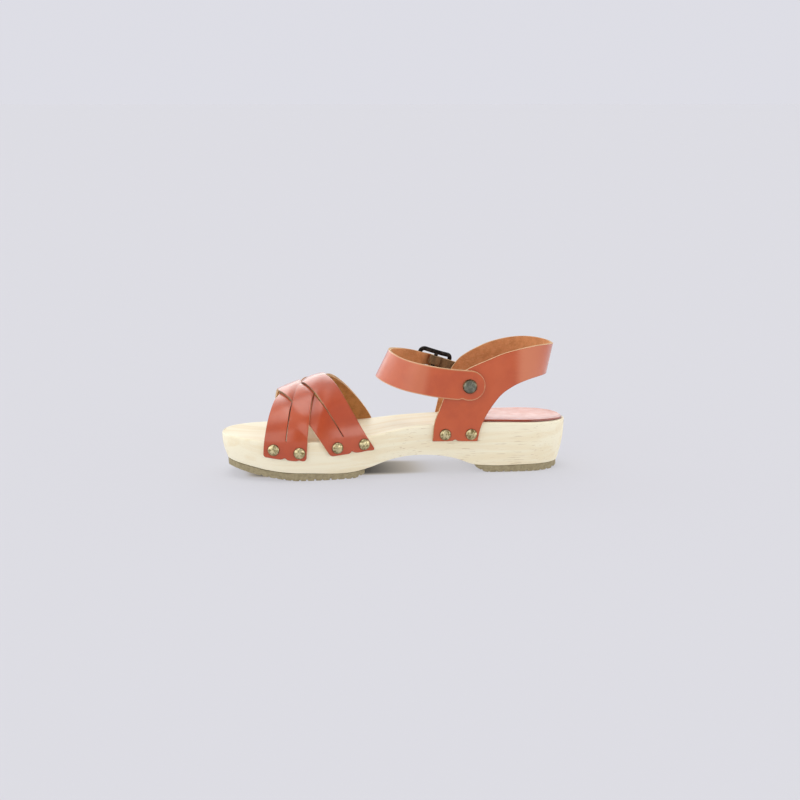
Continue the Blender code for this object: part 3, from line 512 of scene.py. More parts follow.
# %% Template curves
class Template:
    """Smooth curves through a short table's rows; the first column is the one that runs."""

    def __init__(self, columns, rows):
        values = np.array(rows, dtype=float)
        self.knots = values[:, 0]
        self.values = {name: values[:, k] for k, name in enumerate(columns)}
        self.slopes = {name: np.gradient(values[:, k], values[:, 0]) for k, name in enumerate(columns)}

    def at(self, name, where):
        """The column's value, cubic between rows and level past the ends."""
        knots = self.knots
        values = self.values[name]
        slopes = self.slopes[name]
        where = min(max(where, knots[0]), knots[-1])
        row = min(max(int(np.searchsorted(knots, where)) - 1, 0), len(knots) - 2)
        width = knots[row + 1] - knots[row]
        part = (where - knots[row]) / width
        rest = 1.0 - part
        ends = values[row] * (1.0 + 2.0 * part) * rest**2 + values[row + 1] * (1.0 + 2.0 * rest) * part**2
        bends = slopes[row] * part * rest**2 - slopes[row + 1] * rest * part**2
        return float(ends + width * bends)

    def straight(self, name, where):
        """The column's value on straight lines between rows."""
        return float(np.interp(where, self.knots, self.values[name]))


SOLE_LENGTH = 251.0
SIDE_SHIFT = -0.13


def eased(part):
    """A smooth step from 0 to 1."""
    part = min(max(part, 0.0), 1.0)
    return part * part * (3.0 - 2.0 * part)


def world(station, across, height):
    """A point of the sandal: station runs from the heel to the toe, across to the outer side."""
    return Vector((SOLE_LENGTH / 2.0 - station, across + SIDE_SHIFT, height))


def unit_normal(place, first, second, step=0.05):
    """The normal of a surface that place gives from two numbers."""
    along = place(first + step, second) - place(first - step, second)
    other = place(first, second + step) - place(first, second - step)
    return along.cross(other).normalized()


print("sole length:", SOLE_LENGTH)

# %% [markdown]
# ## Making pieces
# Most pieces start as a flat grid that a function bends into place: that is how a cutter sees leather, a
# flat shape with its own length and breadth. The grid operator makes the faces, and only its points are
# moved. The other helpers close a shape, turn it into an object that rides on the sandal and stands for its
# solid, and round its edges.


# %% Piece helpers
def bent_sheet(columns, rows, place):
    """A grid whose point in column i and row j lies at place(columns[i], rows[j])."""
    shape = bmesh.new()
    bmesh.ops.create_grid(shape, x_segments=len(columns) - 1, y_segments=len(rows) - 1, size=0.5)
    for vert in shape.verts:
        i = round((vert.co.x + 0.5) * (len(columns) - 1))
        j = round((vert.co.y + 0.5) * (len(rows) - 1))
        vert.co = place(columns[i], rows[j])
    return shape


def closed_shell(shape):
    """Merges the grid's meeting edges, fills open ends and turns the faces outwards."""
    bmesh.ops.remove_doubles(shape, verts=shape.verts, dist=1e-4)
    bmesh.ops.holes_fill(shape, edges=[edge for edge in shape.edges if edge.is_boundary], sides=0)
    bmesh.ops.recalc_face_normals(shape, faces=shape.faces)
    return shape


def as_piece(name, shape, finishes, nodes, sharp_angle=40.0):
    """An object in metres that rides on the sandal and stands for solids."""
    bmesh.ops.scale(shape, vec=(MM, MM, MM), verts=shape.verts)
    mesh = bpy.data.meshes.new(name)
    shape.to_mesh(mesh)
    shape.free()
    mesh.shade_smooth()
    mesh.set_sharp_from_angle(angle=math.radians(sharp_angle))
    for finish in finishes:
        mesh.materials.append(finish)
    piece = bpy.data.objects.new(name, mesh)
    bpy.context.scene.collection.objects.link(piece)
    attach(piece, "root")
    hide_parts(*nodes)
    return piece


def rounded_edges(piece, width_mm, segments, angle=45.0):
    """Live bevel on the sharp edges."""
    edge = piece.modifiers.new("edges", "BEVEL")
    edge.width = width_mm * MM
    edge.segments = segments
    edge.profile = 0.5
    edge.limit_method = "ANGLE"
    edge.angle_limit = math.radians(angle)


print("piece helpers ready")

# %% [markdown]
# ## The wooden sole
# One block of wood with a dished footbed, a hollow arch, a spring at the toe and a heel. It could be carved
# by cutting a box with curves, but its whole surface is really one set of rings: out over the underside, up
# the wall, round the top edge and in over the footbed. So a grid is wrapped round it, with a column for
# each point of the outline.

# %% Sole templates
HEEL_CAP = 34.0
HEEL_FULLNESS = 2.15
TOE_START = 190.0
TOE_FULLNESS = {INNER: 2.25, OUTER: 2.05}
TOE_TIP_ACROSS = -7.0
OUTLINE = Template(
    ("station", "inner", "outer"),
    (
        (20.0, 29.0, 29.0),
        (40.0, 29.0, 29.2),
        (65.0, 28.8, 30.0),
        (90.0, 28.6, 32.0),
        (115.0, 30.3, 35.3),
        (140.0, 35.0, 39.5),
        (165.0, 41.0, 43.4),
        (182.0, 44.0, 44.9),
        (200.0, 45.0, 44.6),
    ),
)
RIM = Template(
    ("station", "inner", "outer"),
    (
        (0.0, 36.4, 36.4),
        (33.0, 36.8, 36.6),
        (64.0, 37.6, 36.2),
        (102.0, 36.8, 34.4),
        (117.0, 35.7, 33.2),
        (130.0, 33.6, 31.6),
        (145.0, 30.8, 29.6),
        (165.0, 29.2, 28.6),
        (190.0, 28.8, 28.4),
        (222.0, 29.8, 29.4),
        (250.0, 31.4, 31.2),
    ),
)
UNDERSIDE = Template(
    ("station", "height", "taper"),
    (
        (0.0, 5.4, 5.2),
        (30.0, 5.4, 3.4),
        (62.0, 5.4, 3.0),
        (71.0, 6.4, 3.0),
        (82.0, 10.4, 3.0),
        (92.0, 12.8, 3.0),
        (105.0, 14.1, 3.0),
        (118.0, 14.0, 3.0),
        (132.0, 11.8, 3.0),
        (146.0, 7.4, 3.0),
        (154.0, 5.6, 3.0),
        (190.0, 5.7, 3.0),
        (206.0, 6.4, 3.0),
        (220.0, 8.0, 3.0),
        (232.0, 10.2, 3.2),
        (250.0, 13.8, 3.6),
    ),
)
DISH_DEPTH = 1.4
LEAST_BREADTH = 20.0
EDGE_ROUND = 1.5
TAPER_BEND = 2.1
SPINE_MARGIN = 6.0
BALL_STATION = 190.0


def edge_across(station, side, inset=0.0):
    """Where an outline drawn in from the sole's widest one crosses a station."""
    reach = side * (OUTLINE.at(SIDES[side], station) - inset)
    if station < HEEL_CAP:
        part = min((HEEL_CAP - station) / (HEEL_CAP - inset), 1.0)
        return reach * (1.0 - part**HEEL_FULLNESS) ** (1.0 / HEEL_FULLNESS)
    if station > TOE_START:
        full = TOE_FULLNESS[side]
        part = min((station - TOE_START) / (SOLE_LENGTH - inset - TOE_START), 1.0)
        return TOE_TIP_ACROSS + (reach - TOE_TIP_ACROSS) * (1.0 - part**full) ** (1.0 / full)
    return reach


def footbed(station, across):
    """Height of the footbed: level from rim to rim, with a shallow dish between."""
    inner = edge_across(station, INNER)
    outer = edge_across(station, OUTER)
    part = min(max((across - inner) / max(outer - inner, LEAST_BREADTH), 0.0), 1.0)
    rim = RIM.at("inner", station) * (1.0 - part) + RIM.at("outer", station) * part
    return rim - DISH_DEPTH * (1.0 - (2.0 * part - 1.0) ** 2)


def wall_inset(station, side, height):
    """How far the wooden wall has drawn in at a height, from the widest outline."""
    low = UNDERSIDE.at("height", station)
    high = RIM.at(SIDES[side], station) - EDGE_ROUND
    part = min(max((height - low) / (high - low), 0.0), 1.0)
    return UNDERSIDE.at("taper", station) * (1.0 - part) ** TAPER_BEND


def wall_point(station, side, height, out=0.0):
    """A point on the wooden wall, or out from it square to the outline."""
    step = 0.05
    slope = (edge_across(station + step, side) - edge_across(station - step, side)) / (2.0 * step)
    length = math.hypot(1.0, slope)
    shift = out - wall_inset(station, side, height)
    across = edge_across(station, side) + side * shift / length
    return world(station - side * shift * slope / length, across, height)


ball_breadth = edge_across(BALL_STATION, OUTER) - edge_across(BALL_STATION, INNER)
print("breadth at the ball:", round(ball_breadth, 1))

# %% Sole block
HEEL_STEP = 4
TOE_STEP = 3
MIDDLE_STEPS = 64
UNDERSIDE_STEPS = (0.0, 0.6, 0.97)
WALL_STEPS = (0.0, 0.04, 0.12, 0.25, 0.4, 0.6, 0.8, 1.0)
EDGE_TURNS = (18.0, 36.0, 54.0, 72.0, 90.0)
DISH_BLEND = 4
FOOTBED_STEPS = (0.93, 0.82, 0.68, 0.5, 0.3, 0.12, 0.0)

heel_stations = [HEEL_CAP * (1.0 - math.cos(math.radians(angle))) for angle in range(0, 90, HEEL_STEP)]
middle_stations = [float(s) for s in np.linspace(HEEL_CAP, TOE_START, MIDDLE_STEPS)]
toe_turns = [math.radians(angle) for angle in range(TOE_STEP, 91, TOE_STEP)]
toe_stations = [TOE_START + (SOLE_LENGTH - TOE_START) * math.sin(turn) for turn in toe_turns]
stations = heel_stations + middle_stations + toe_stations
outline = [(s, OUTER) for s in stations] + [(s, INNER) for s in reversed(stations[1:-1])]
outline_points = [Vector((s, edge_across(s, side), 0.0)) for s, side in outline]


def inset_point(k, inset):
    """The outline's point k, drawn in square to the outline."""
    ahead = outline_points[(k + 1) % len(outline)] - outline_points[k - 1]
    return outline_points[k] + inset * Vector((ahead.y, -ahead.x, 0.0)).normalized()


def toward_spine(k, inset, part):
    """Between the drawn-in outline (part 1) and the sole's middle line (part 0)."""
    station = min(max(outline[k][0], SPINE_MARGIN), SOLE_LENGTH - SPINE_MARGIN)
    middle = 0.5 * (edge_across(station, INNER) + edge_across(station, OUTER))
    return Vector((station, middle, 0.0)).lerp(inset_point(k, inset), part)


def sole_place(k, ring):
    """Point k of a ring: over the underside, up the wall, round the edge or in over the footbed."""
    kind, amount = ring
    k = k % len(outline)
    station, side = outline[k]
    rim = RIM.at(SIDES[side], station)
    if kind == "underside":
        point = toward_spine(k, UNDERSIDE.at("taper", station), amount)
        return world(point.x, point.y, UNDERSIDE.at("height", point.x))
    if kind == "wall":
        low = UNDERSIDE.at("height", station)
        height = low + amount * (rim - EDGE_ROUND - low)
        point = inset_point(k, wall_inset(station, side, height))
        return world(point.x, point.y, height)
    if kind == "edge":
        turn = math.radians(amount)
        point = inset_point(k, EDGE_ROUND * (1.0 - math.cos(turn)))
        top = footbed(point.x, point.y)
        level = rim - EDGE_ROUND * (1.0 - math.sin(turn))
        return world(point.x, point.y, level + (top - rim) * math.sin(turn) ** DISH_BLEND)
    point = toward_spine(k, EDGE_ROUND, amount)
    return world(point.x, point.y, footbed(point.x, point.y))


sole_rings = [("underside", step) for step in UNDERSIDE_STEPS]
sole_rings += [("wall", step) for step in WALL_STEPS]
sole_rings += [("edge", turn) for turn in EDGE_TURNS]
sole_rings += [("footbed", step) for step in FOOTBED_STEPS]
shape = closed_shell(bent_sheet(range(len(outline) + 1), sole_rings, sole_place))
sole_block = as_piece("sole_block", shape, [pale_wood], ["sole_wood"], sharp_angle=50.0)
print("sole faces:", len(sole_block.data.polygons))

# %% [markdown]
# ## Ribbed rubber treads
# Two rubber soles are glued under the forefoot and the heel. Ribs run across them, and at the edge they
# show as small teeth on the floor line. Each tread is a box section that is swept along the foot, up and
# down over its ribs. A bevel softens the moulded edges, and a weld clears the specks that it leaves in
# tight corners.

# %% Treads
FIT_GAP = 0.3
TREAD_INSET = 0.6
RIB_PITCH = 5.4
RIB_GROOVE = 1.7
RIB_DEPTH = 0.8
RIB_UNEVEN = 0.45
RIB_SEED = 5
RIB_LEAD = 1.2
TREAD_LAST = 1.0
RIB_TOE = (212.0, 236.0)
RIB_TOE_LEFT = 0.25
RIB_BEVEL = 0.4
TOE_FULLER = 0.5
TREAD_BEVEL = 0.3
TREAD_SPECK = 0.01
FOREFOOT_SPAN = (150.5, 246.7)
HEEL_SPAN = (6.6, 68.5)
FOREFOOT_ROWS = (
    (150.5, 3.4),
    (153.5, 1.6),
    (158.0, 0.0),
    (199.0, 0.0),
    (207.0, 0.8),
    (218.0, 2.5),
    (227.0, 4.2),
    (237.0, 6.4),
    (250.0, 9.2),
)
HEEL_ROWS = ((0.0, 3.8), (6.0, 1.6), (12.0, 0.0), (61.0, 0.0), (65.0, 1.8), (68.5, 4.0))


def ribbed_tread(name, node, rows, first, last):
    """A tread from its first station to its last, with grooves between its ribs."""
    heights = Template(("station", "height"), rows)
    uneven = np.random.default_rng(RIB_SEED)
    levels = [(first, 0.0)]
    groove = first + RIB_PITCH / 2.0
    while groove + RIB_GROOVE < last - RIB_PITCH / 2.0:
        station = groove + RIB_UNEVEN * float(uneven.uniform(-1.0, 1.0))
        depth = RIB_DEPTH * (1.0 + RIB_UNEVEN * float(uneven.uniform(-1.0, 1.0)))
        levels += [(station - RIB_LEAD, 0.0), (station, 0.0), (station + RIB_BEVEL, depth)]
        levels += [(station + RIB_GROOVE - RIB_BEVEL, depth), (station + RIB_GROOVE, 0.0)]
        groove += RIB_PITCH
    levels += [(last - TREAD_LAST, 0.0), (last, 0.0)]
    corners = (("wood", INNER), ("wood", OUTER), ("floor", OUTER), ("floor", INNER), ("wood", INNER))

    def place(corner, level):
        kind, side = corner
        station, depth = level
        toe = eased((station - RIB_TOE[0]) / (RIB_TOE[1] - RIB_TOE[0]))
        across = edge_across(station, side, UNDERSIDE.at("taper", station) + TREAD_INSET - TOE_FULLER * toe)
        if kind == "wood":
            return world(station, across, UNDERSIDE.at("height", station) - FIT_GAP)
        depth *= 1.0 - (1.0 - RIB_TOE_LEFT) * toe
        return world(station, across, heights.straight("height", station) + depth)

    shape = closed_shell(bent_sheet(corners, levels, place))
    piece = as_piece(name, shape, [crepe_rubber], [node], sharp_angle=30.0)
    rounded_edges(piece, TREAD_BEVEL, 2, 40.0)
    specks = piece.modifiers.new("specks", "WELD")
    specks.merge_threshold = TREAD_SPECK * MM
    return piece


tread_forefoot = ribbed_tread("tread_forefoot", "outsole_forefoot", FOREFOOT_ROWS, *FOREFOOT_SPAN)
tread_heel = ribbed_tread("tread_heel", "outsole_heel", HEEL_ROWS, *HEEL_SPAN)
print("treads:", tread_forefoot.name, tread_heel.name)

# %% [markdown]
# ## Leather with thickness
# Each leather piece is bent as a thin sheet first. Solidify then gives it the hide's thickness, half to
# each side, and hands out the three materials: grain outside, flesh inside, cut edge round the rim. For
# that the sheet's faces have to point away from the foot, so they are turned by a point that lies inside
# the shoe.

# %% Leather helpers
LEATHER = 2.2
LUG_GAP = 0.35
RIM_REACH = 8.0
EDGE_WEAR = 0.22
STRAP_WEAR = 0.8 * EDGE_WEAR
EDGE_NEAR = (0.0, 0.7, 1.6, 3.0)
MIDDLE_COUNT = 5


def face_out(shape, inside):
    """Turns a sheet's faces away from a point."""
    facing = 0.0
    for face in shape.faces:
        facing += face.normal.dot(face.calc_center_median() - inside) * face.calc_area()
    if facing < 0.0:
        bmesh.ops.reverse_faces(shape, faces=shape.faces)


def mark_rim(shape):
    """Gives each point its distance from the cut edge, as the number rim."""
    rim = shape.verts.layers.float.new("rim")
    cut = [vert for vert in shape.verts if vert.is_boundary]
    tree = kdtree.KDTree(len(cut))
    for k, vert in enumerate(cut):
        tree.insert(vert.co, k)
    tree.balance()
    for vert in shape.verts:
        vert[rim] = min(tree.find(vert.co)[2], RIM_REACH)


def leather_piece(name, shape, nodes, inside, grain=hide_grain, flesh=hide_flesh):
    """A leather sheet as a piece with thickness, three faces and worn edges."""
    shape.normal_update()
    face_out(shape, inside)
    mark_rim(shape)
    finishes = [grain, flesh, hide_edge]
    piece = as_piece(name, shape, finishes, nodes, sharp_angle=60.0)
    wall = piece.modifiers.new("thickness", "SOLIDIFY")
    wall.thickness = LEATHER * MM
    wall.offset = 0.0
    wall.use_even_offset = True
    wall.use_quality_normals = True
    wall.material_offset = 1
    wall.material_offset_rim = 2
    return piece


def edge_columns(breadths):
    """Distances across a strip, closer together near its two cut edges."""
    low, high = breadths
    inner = [low + step for step in EDGE_NEAR]
    outer = [high - step for step in reversed(EDGE_NEAR)]
    middle = [float(step) for step in np.linspace(inner[-1], outer[0], MIDDLE_COUNT)[1:-1]]
    return inner + middle + outer


print("leather thickness:", LEATHER)

# %% [markdown]
# ## The woven vamp
# Two bands of leather cross over the foot. Each is slit along its middle, so there are four strips, and the
# strips pass over and under each other as in a basket. On the real sandal the bands are cut flat and nailed
# to the wood. Here a saddle-shaped surface stands in for the foot, each band is a grid laid on it along a
# slanting line, and a rule lifts or lowers each strip by where it stands beside the other band. The slits
# gape a little over the foot. Where strips lie close to each other, their cut edges are darkened with
# painted shade, since hardly any light gets in there.

# %% Vamp surface
ARCH_FULLNESS = {INNER: 2.05, OUTER: 2.7}
SPRING_DROP = 2.0
RIDGE_TOP = 177.0
RIDGE = Template(
    ("station", "height"),
    ((130.0, 66.0), (160.0, 68.6), (177.0, 68.0), (196.0, 62.2), (212.0, 56.2), (230.0, 49.0)),
)
LUG_EDGE = Template(
    ("station", "height"),
    ((130.0, 22.4), (145.0, 20.8), (176.0, 18.0), (192.0, 15.6), (222.0, 18.4), (232.0, 19.6)),
)


def vamp_point(station, girth):
    """The vamp's middle surface: girth runs from -1 at the inner lug's foot over the ridge to +1."""
    side = INNER if girth < 0.0 else OUTER
    out = LUG_GAP + LEATHER / 2.0
    rise = 1.0 - abs(girth)
    foot = LUG_EDGE.at("height", station)
    spring = RIM.at(SIDES[side], station) - SPRING_DROP
    ridge = RIDGE.at("height", station)
    root = wall_point(station, side, spring, out)
    crown = world(station, 0.5 * (edge_across(station, INNER) + edge_across(station, OUTER)), ridge)
    wall_run = spring - foot
    arch_run = math.pi / 2.0 * math.sqrt(((root.y - crown.y) ** 2 + (ridge - spring) ** 2) / 2.0)
    share = wall_run / (wall_run + arch_run)
    if rise <= share:
        return wall_point(station, side, foot + wall_run * rise / share, out)
    angle = math.pi / 2.0 * (rise - share) / (1.0 - share)
    inward = max(math.cos(angle), 0.0) ** (2.0 / ARCH_FULLNESS[side])
    upward = math.sin(angle) ** (2.0 / ARCH_FULLNESS[side])
    x = crown.x + (root.x - crown.x) * inward
    y = crown.y + (root.y - crown.y) * inward
    return Vector((x, y, spring + (ridge - spring) * upward))


print("vamp height:", round(vamp_point(RIDGE_TOP, 0.0).z, 1))

# %% Woven bands
VAMP_MIDDLE = 177.2
VAMP_BOW = 16.0
VAMP_BOW_POWER = 1.75
VAMP_SKEW = 6.4
BAND_SWING = {"fore": -24.0, "aft": 24.0}
OUTER_SWING_POWER = {"fore": 1.1, "aft": 1.5}
BAND_HALF = {"fore": 14.8, "aft": 16.2}
SLIT_HALF = 0.22
SLIT_GAPE = {"fore": 0.42, "aft": 0.12}
SLIT_GAPE_END = (0.62, 0.25)
SLIT_GAPE_REACH = 3.0
SLIT_END = {"fore": 0.805, "aft": 0.83}
# Painted shade: how dark a cut edge is along the girth of the inner side, where it lies close against
# another strip
EDGE_SHADE = {
    ("fore", "slit"): ((0.16, 0.0), (0.36, 1.0)),
    ("fore", "rear"): ((0.10, 0.0), (0.18, 0.8), (0.38, 0.8), (0.52, 0.0)),
    ("aft", "slit"): ((0.22, 0.8), (0.34, 0.1), (0.66, 0.1), (0.78, 1.0)),
    ("aft", "front"): ((0.08, 0.6), (0.34, 0.6), (0.46, 0.0)),
}
# Painted shade on the outer side's slit edges, near the slit's closed end
OUTER_SLIT_SHADE = ((0.52, 0.0), (0.72, 1.0))
WEAVE_LIFT = 1.1
FAR_LIFT = 0.75
FAR_LIFT_FROM = 0.12
WEAVE_LEAD = 2.6
WEAVE_RISE = 7.0
WEAVE_FALL = 9.0
OVER_FRONT = {("fore", "front"): -1.0, ("fore", "rear"): 1.0, ("aft", "front"): 1.0, ("aft", "rear"): -1.0}
OTHER_BAND = {"fore": "aft", "aft": "fore"}
BAND_ROWS = 120
LUG_ROWS = 14
LUG_FOOT = 0.94
LUG_NOTCHES = ((0.3, 1.5, 0.020), (-9.5, 1.2, 0.010))
LUG_CORNER = 2.2
LUG_CORNER_GIRTH = 0.026
# The rear edge of the aft band swings back a little at the inner side of the ridge
REAR_EDGE = Template(
    ("girth", "sway"),
    ((-0.75, 0.0), (-0.5, -0.5), (-0.3, -1.4), (-0.12, -2.0), (0.06, -1.2), (0.26, -0.2), (0.5, 0.0)),
)
HALF_GIRTH = 50.0
VAMP_INSIDE = world(185.0, 0.0, 30.0)


def band_middle(band, girth):
    """The station of a band's middle line."""
    swing = girth if girth < 0.0 else girth ** OUTER_SWING_POWER[band]
    bow = VAMP_BOW * (1.0 - abs(girth) ** VAMP_BOW_POWER)
    return VAMP_MIDDLE + bow - VAMP_SKEW * girth + BAND_SWING[band] * swing


def weave_lift(band, strip, station, girth):
    """A strip dives under one strip of the other band and climbs at once over the next."""
    other = OTHER_BAND[band]
    beside = OVER_FRONT[(band, strip)] * (station - band_middle(other, girth))
    half = BAND_HALF[other]
    if beside < -WEAVE_LEAD:
        return -eased((beside + half + WEAVE_FALL) / WEAVE_FALL)
    if beside < half:
        return -1.0 + 2.0 * eased((beside + WEAVE_LEAD) / WEAVE_RISE)
    return eased((half + WEAVE_FALL - beside) / WEAVE_FALL)


def woven_band(name, band):
    """One slit band, laid over the foot and lifted or lowered where it crosses the other."""
    half = BAND_HALF[band]
    front = edge_columns((SLIT_HALF, half))
    columns = [-step for step in reversed(front)] + front
    lug = [float(g) for g in np.linspace(SLIT_END[band], 1.0, LUG_ROWS + 1)[1:]]
    weave = [float(g) for g in np.linspace(-SLIT_END[band], SLIT_END[band], BAND_ROWS + 1)]
    rows = [-g for g in reversed(lug)] + weave + lug

    def place(across, girth):
        foot = max((abs(girth) - LUG_FOOT) / (1.0 - LUG_FOOT), 0.0)
        corner = max(1.0 - (half - abs(across)) / LUG_CORNER, 0.0)
        cut = LUG_CORNER_GIRTH * (1.0 - math.sqrt(1.0 - corner**2))
        for centre, reach, depth in LUG_NOTCHES:
            cut += depth * math.exp(-(((across - centre) / reach) ** 2))
        girth -= math.copysign(cut * foot, girth)
        gape = SLIT_GAPE[band] * eased((SLIT_GAPE_END[0] - abs(girth)) / SLIT_GAPE_END[1])
        across += math.copysign(gape * max(1.0 - abs(across) / SLIT_GAPE_REACH, 0.0), across)
        if band == "aft" and across < 0.0:
            across += REAR_EDGE.at("sway", girth) * abs(across) / half
        station = band_middle(band, girth) + across
        lift = WEAVE_LIFT + (FAR_LIFT - WEAVE_LIFT) * eased(girth / FAR_LIFT_FROM)
        lift *= weave_lift(band, "front" if across > 0.0 else "rear", station, girth)
        normal = unit_normal(lambda s, t: vamp_point(s, t / HALF_GIRTH), station, girth * HALF_GIRTH)
        up = normal if normal.z > 0.0 else -normal
        return vamp_point(station, girth) + lift * up

    shape = bent_sheet(columns, rows, place)
    # painted shade on cut edges that lie close against another strip
    slit_shade_mark = shape.verts.layers.float.new("slit")
    for k, vert in enumerate(shape.verts):
        column = columns[k % len(columns)]
        girth = rows[k // len(columns)]
        edge = {half: "front", -half: "rear", SLIT_HALF: "slit", -SLIT_HALF: "slit"}.get(column)
        shade = EDGE_SHADE.get((band, edge), ())
        if girth > 0.0:
            shade = OUTER_SLIT_SHADE if edge == "slit" else ()
        if shade:
            vert[slit_shade_mark] = float(np.interp(abs(girth), *zip(*shade)))
    across_count = len(columns) - 1
    slit = []
    for face in shape.faces:
        row = face.index // across_count
        if face.index % across_count == across_count // 2 and LUG_ROWS <= row < LUG_ROWS + BAND_ROWS:
            slit.append(face)
    bmesh.ops.delete(shape, geom=slit, context="FACES_ONLY")
    piece = leather_piece(name, shape, ["upper_vamp"], VAMP_INSIDE, vamp_grain, vamp_flesh)
    rounded_edges(piece, EDGE_WEAR, 2)
    return piece


band_fore = woven_band("band_fore", "fore")
band_aft = woven_band("band_aft", "aft")
print("bands:", len(band_fore.data.polygons), len(band_aft.data.polygons))

# %% [markdown]
# ## The heel strap
# One piece of leather runs from the inner lug up round the heel and down to the outer lug. Its template
# gives the top edge and the lower edge as runs round the heel with their heights, and the grid is stretched
# between the two edges. Round the heel the leather is bent, and a painted highlight makes it paler there.

# %% Heel strap
HEEL_TURN = 45.0
TURN_RUN = 51.0
HEEL_HALF = 31.5
HEEL_DEPTH = 30.4
HEEL_LEAN = 0.225
HEEL_LEAN_FROM = 69.1
LUG_BLEND = (38.0, 54.0)
QUARTER = Template(
    ("along", "top_run", "top_height", "low_run", "low_height", "outer_shift"),
    (
        (0.0, 106.8, 24.8, 74.6, 24.1, 7.5),
        (0.1, 104.3, 36.0, 72.6, 33.1, 7.5),
        (0.2, 102.0, 46.0, 69.8, 40.0, 7.5),
        (0.3, 99.6, 55.0, 66.4, 46.5, 7.3),
        (0.4, 95.8, 63.5, 62.5, 52.2, 7.8),
        (0.5, 90.2, 70.8, 57.5, 58.1, 7.0),
        (0.6, 81.9, 77.0, 51.0, 62.8, 4.4),
        (0.7, 66.7, 83.5, 43.0, 66.4, 0.5),
        (0.8, 52.7, 88.7, 32.5, 68.9, 0.0),
        (0.9, 32.0, 92.4, 19.0, 69.8, 0.0),
        (1.0, 0.0, 91.2, 0.0, 69.1, 0.0),
    ),
)
QUARTER_STEPS = 72
HALF_BREADTH = (0.0, 0.025, 0.06, 0.12, 0.22, 0.34, 0.44, 0.48, 0.5)
QUARTER_BREADTH = HALF_BREADTH + tuple(1.0 - part for part in reversed(HALF_BREADTH[:-1]))
QUARTER_NOTCH = 1.2
QUARTER_NOTCH_REACH = 0.045
QUARTER_FOOT = 0.06
LUG_FULLNESS = (0.12, 0.10, 2.0)
HEEL_HIGHLIGHT = (43.0, -7.0)
HEEL_HIGHLIGHT_FADE = (31.0, -15.0, 0.6)
ANKLE_INSIDE = world(72.0, 0.0, 68.0)


def quarter_point(run, height, side):
    """The strap's middle surface, from a run round the heel and a height."""
    depth = HEEL_DEPTH + HEEL_LEAN * (height - HEEL_LEAN_FROM)
    if run < TURN_RUN:
        turn = run / TURN_RUN * math.pi / 2.0
        return world(HEEL_TURN - depth * math.cos(turn), side * HEEL_HALF * math.sin(turn), height)
    station = HEEL_TURN + run - TURN_RUN
    free = world(station, side * HEEL_HALF, height)
    low, high = LUG_BLEND
    part = eased((height - low) / (high - low))
    if part == 1.0:
        return free
    return wall_point(station, side, height, LUG_GAP + LEATHER / 2.0).lerp(free, part)


def quarter_place(part, row):
    """Between the strap's top edge (part 0) and its lower edge (part 1)."""
    along, side = row
    run = QUARTER.at("top_run", along) * (1.0 - part) + QUARTER.at("low_run", along) * part
    height = QUARTER.at("top_height", along) * (1.0 - part) + QUARTER.at("low_height", along) * part
    if side == OUTER:
        run -= QUARTER.at("outer_shift", along)
    else:
        centre, reach, fullness = LUG_FULLNESS
        run += fullness * (1.0 - part) ** 2 * math.exp(-(((along - centre) / reach) ** 2))
    foot = max(1.0 - along / QUARTER_FOOT, 0.0)
    height += QUARTER_NOTCH * foot * math.exp(-(((part - 0.5) / QUARTER_NOTCH_REACH) ** 2))
    return quarter_point(max(run, 0.0), height, side)


half_way = [float(k) for k in np.linspace(0.0, 1.0, QUARTER_STEPS + 1)]
quarter_rows = [(along, INNER) for along in half_way] + [(along, OUTER) for along in reversed(half_way[:-1])]
shape = bent_sheet(QUARTER_BREADTH, quarter_rows, quarter_place)
# painted highlight: paler behind station 43, weaker towards the very back of the heel
painted_highlight = shape.verts.layers.float.new("painted_highlight")
for vert in shape.verts:
    station = SOLE_LENGTH / 2.0 - vert.co.x
    fade = 1.0 - HEEL_HIGHLIGHT_FADE[2] * eased((station - HEEL_HIGHLIGHT_FADE[0]) / HEEL_HIGHLIGHT_FADE[1])
    vert[painted_highlight] = fade * eased((station - HEEL_HIGHLIGHT[0]) / HEEL_HIGHLIGHT[1])
heel_strap = leather_piece("heel_strap", shape, ["upper_quarter"], ANKLE_INSIDE)
rounded_edges(heel_strap, EDGE_WEAR, 2)
print("heel strap:", len(heel_strap.data.polygons))

# %% [markdown]
# ## The ankle strap and its buckle tab
# The strap is riveted to the inner lug, goes round the front of the ankle and through the buckle on the
# outer side. It is a ribbon along a path: a table of points with a lean for each, then a run over the
# buckle's centre bar. Punched holes run to either side of the buckle. They are cut with a Boolean, since a
# hole through leather shows light. The tab is a second ribbon, folded round the bar. Its slot is wide, so
# the bar and the prong show between its halves. The tab's flesh side is painted dark as shade, and its first
# stretch round the fold takes that dark flesh on its outer face too. A painted highlight makes a stretch of
# the strap paler.

# %% Buckle directions
BUCKLE_STATION = 93.5
BUCKLE_ACROSS = 34.4
BUCKLE_HEIGHT = 67.7
BUCKLE_SLOPE = math.radians(18.0)
BUCKLE_TURN = math.radians(10.0)

buckle_along = Vector(
    (
        -math.cos(BUCKLE_SLOPE) * math.cos(BUCKLE_TURN),
        -math.sin(BUCKLE_TURN),
        math.sin(BUCKLE_SLOPE) * math.cos(BUCKLE_TURN),
    )
)
buckle_up = Vector((math.sin(BUCKLE_SLOPE), 0.0, math.cos(BUCKLE_SLOPE)))
buckle_out = buckle_along.cross(buckle_up)
buckle_middle = world(BUCKLE_STATION, BUCKLE_ACROSS, BUCKLE_HEIGHT)


def at_buckle(along, across, outward):
    """A point in the buckle's own directions, from the middle of its centre bar."""
    return buckle_middle + along * buckle_along + across * buckle_up + outward * buckle_out


print("buckle faces", [round(value, 2) for value in buckle_out])

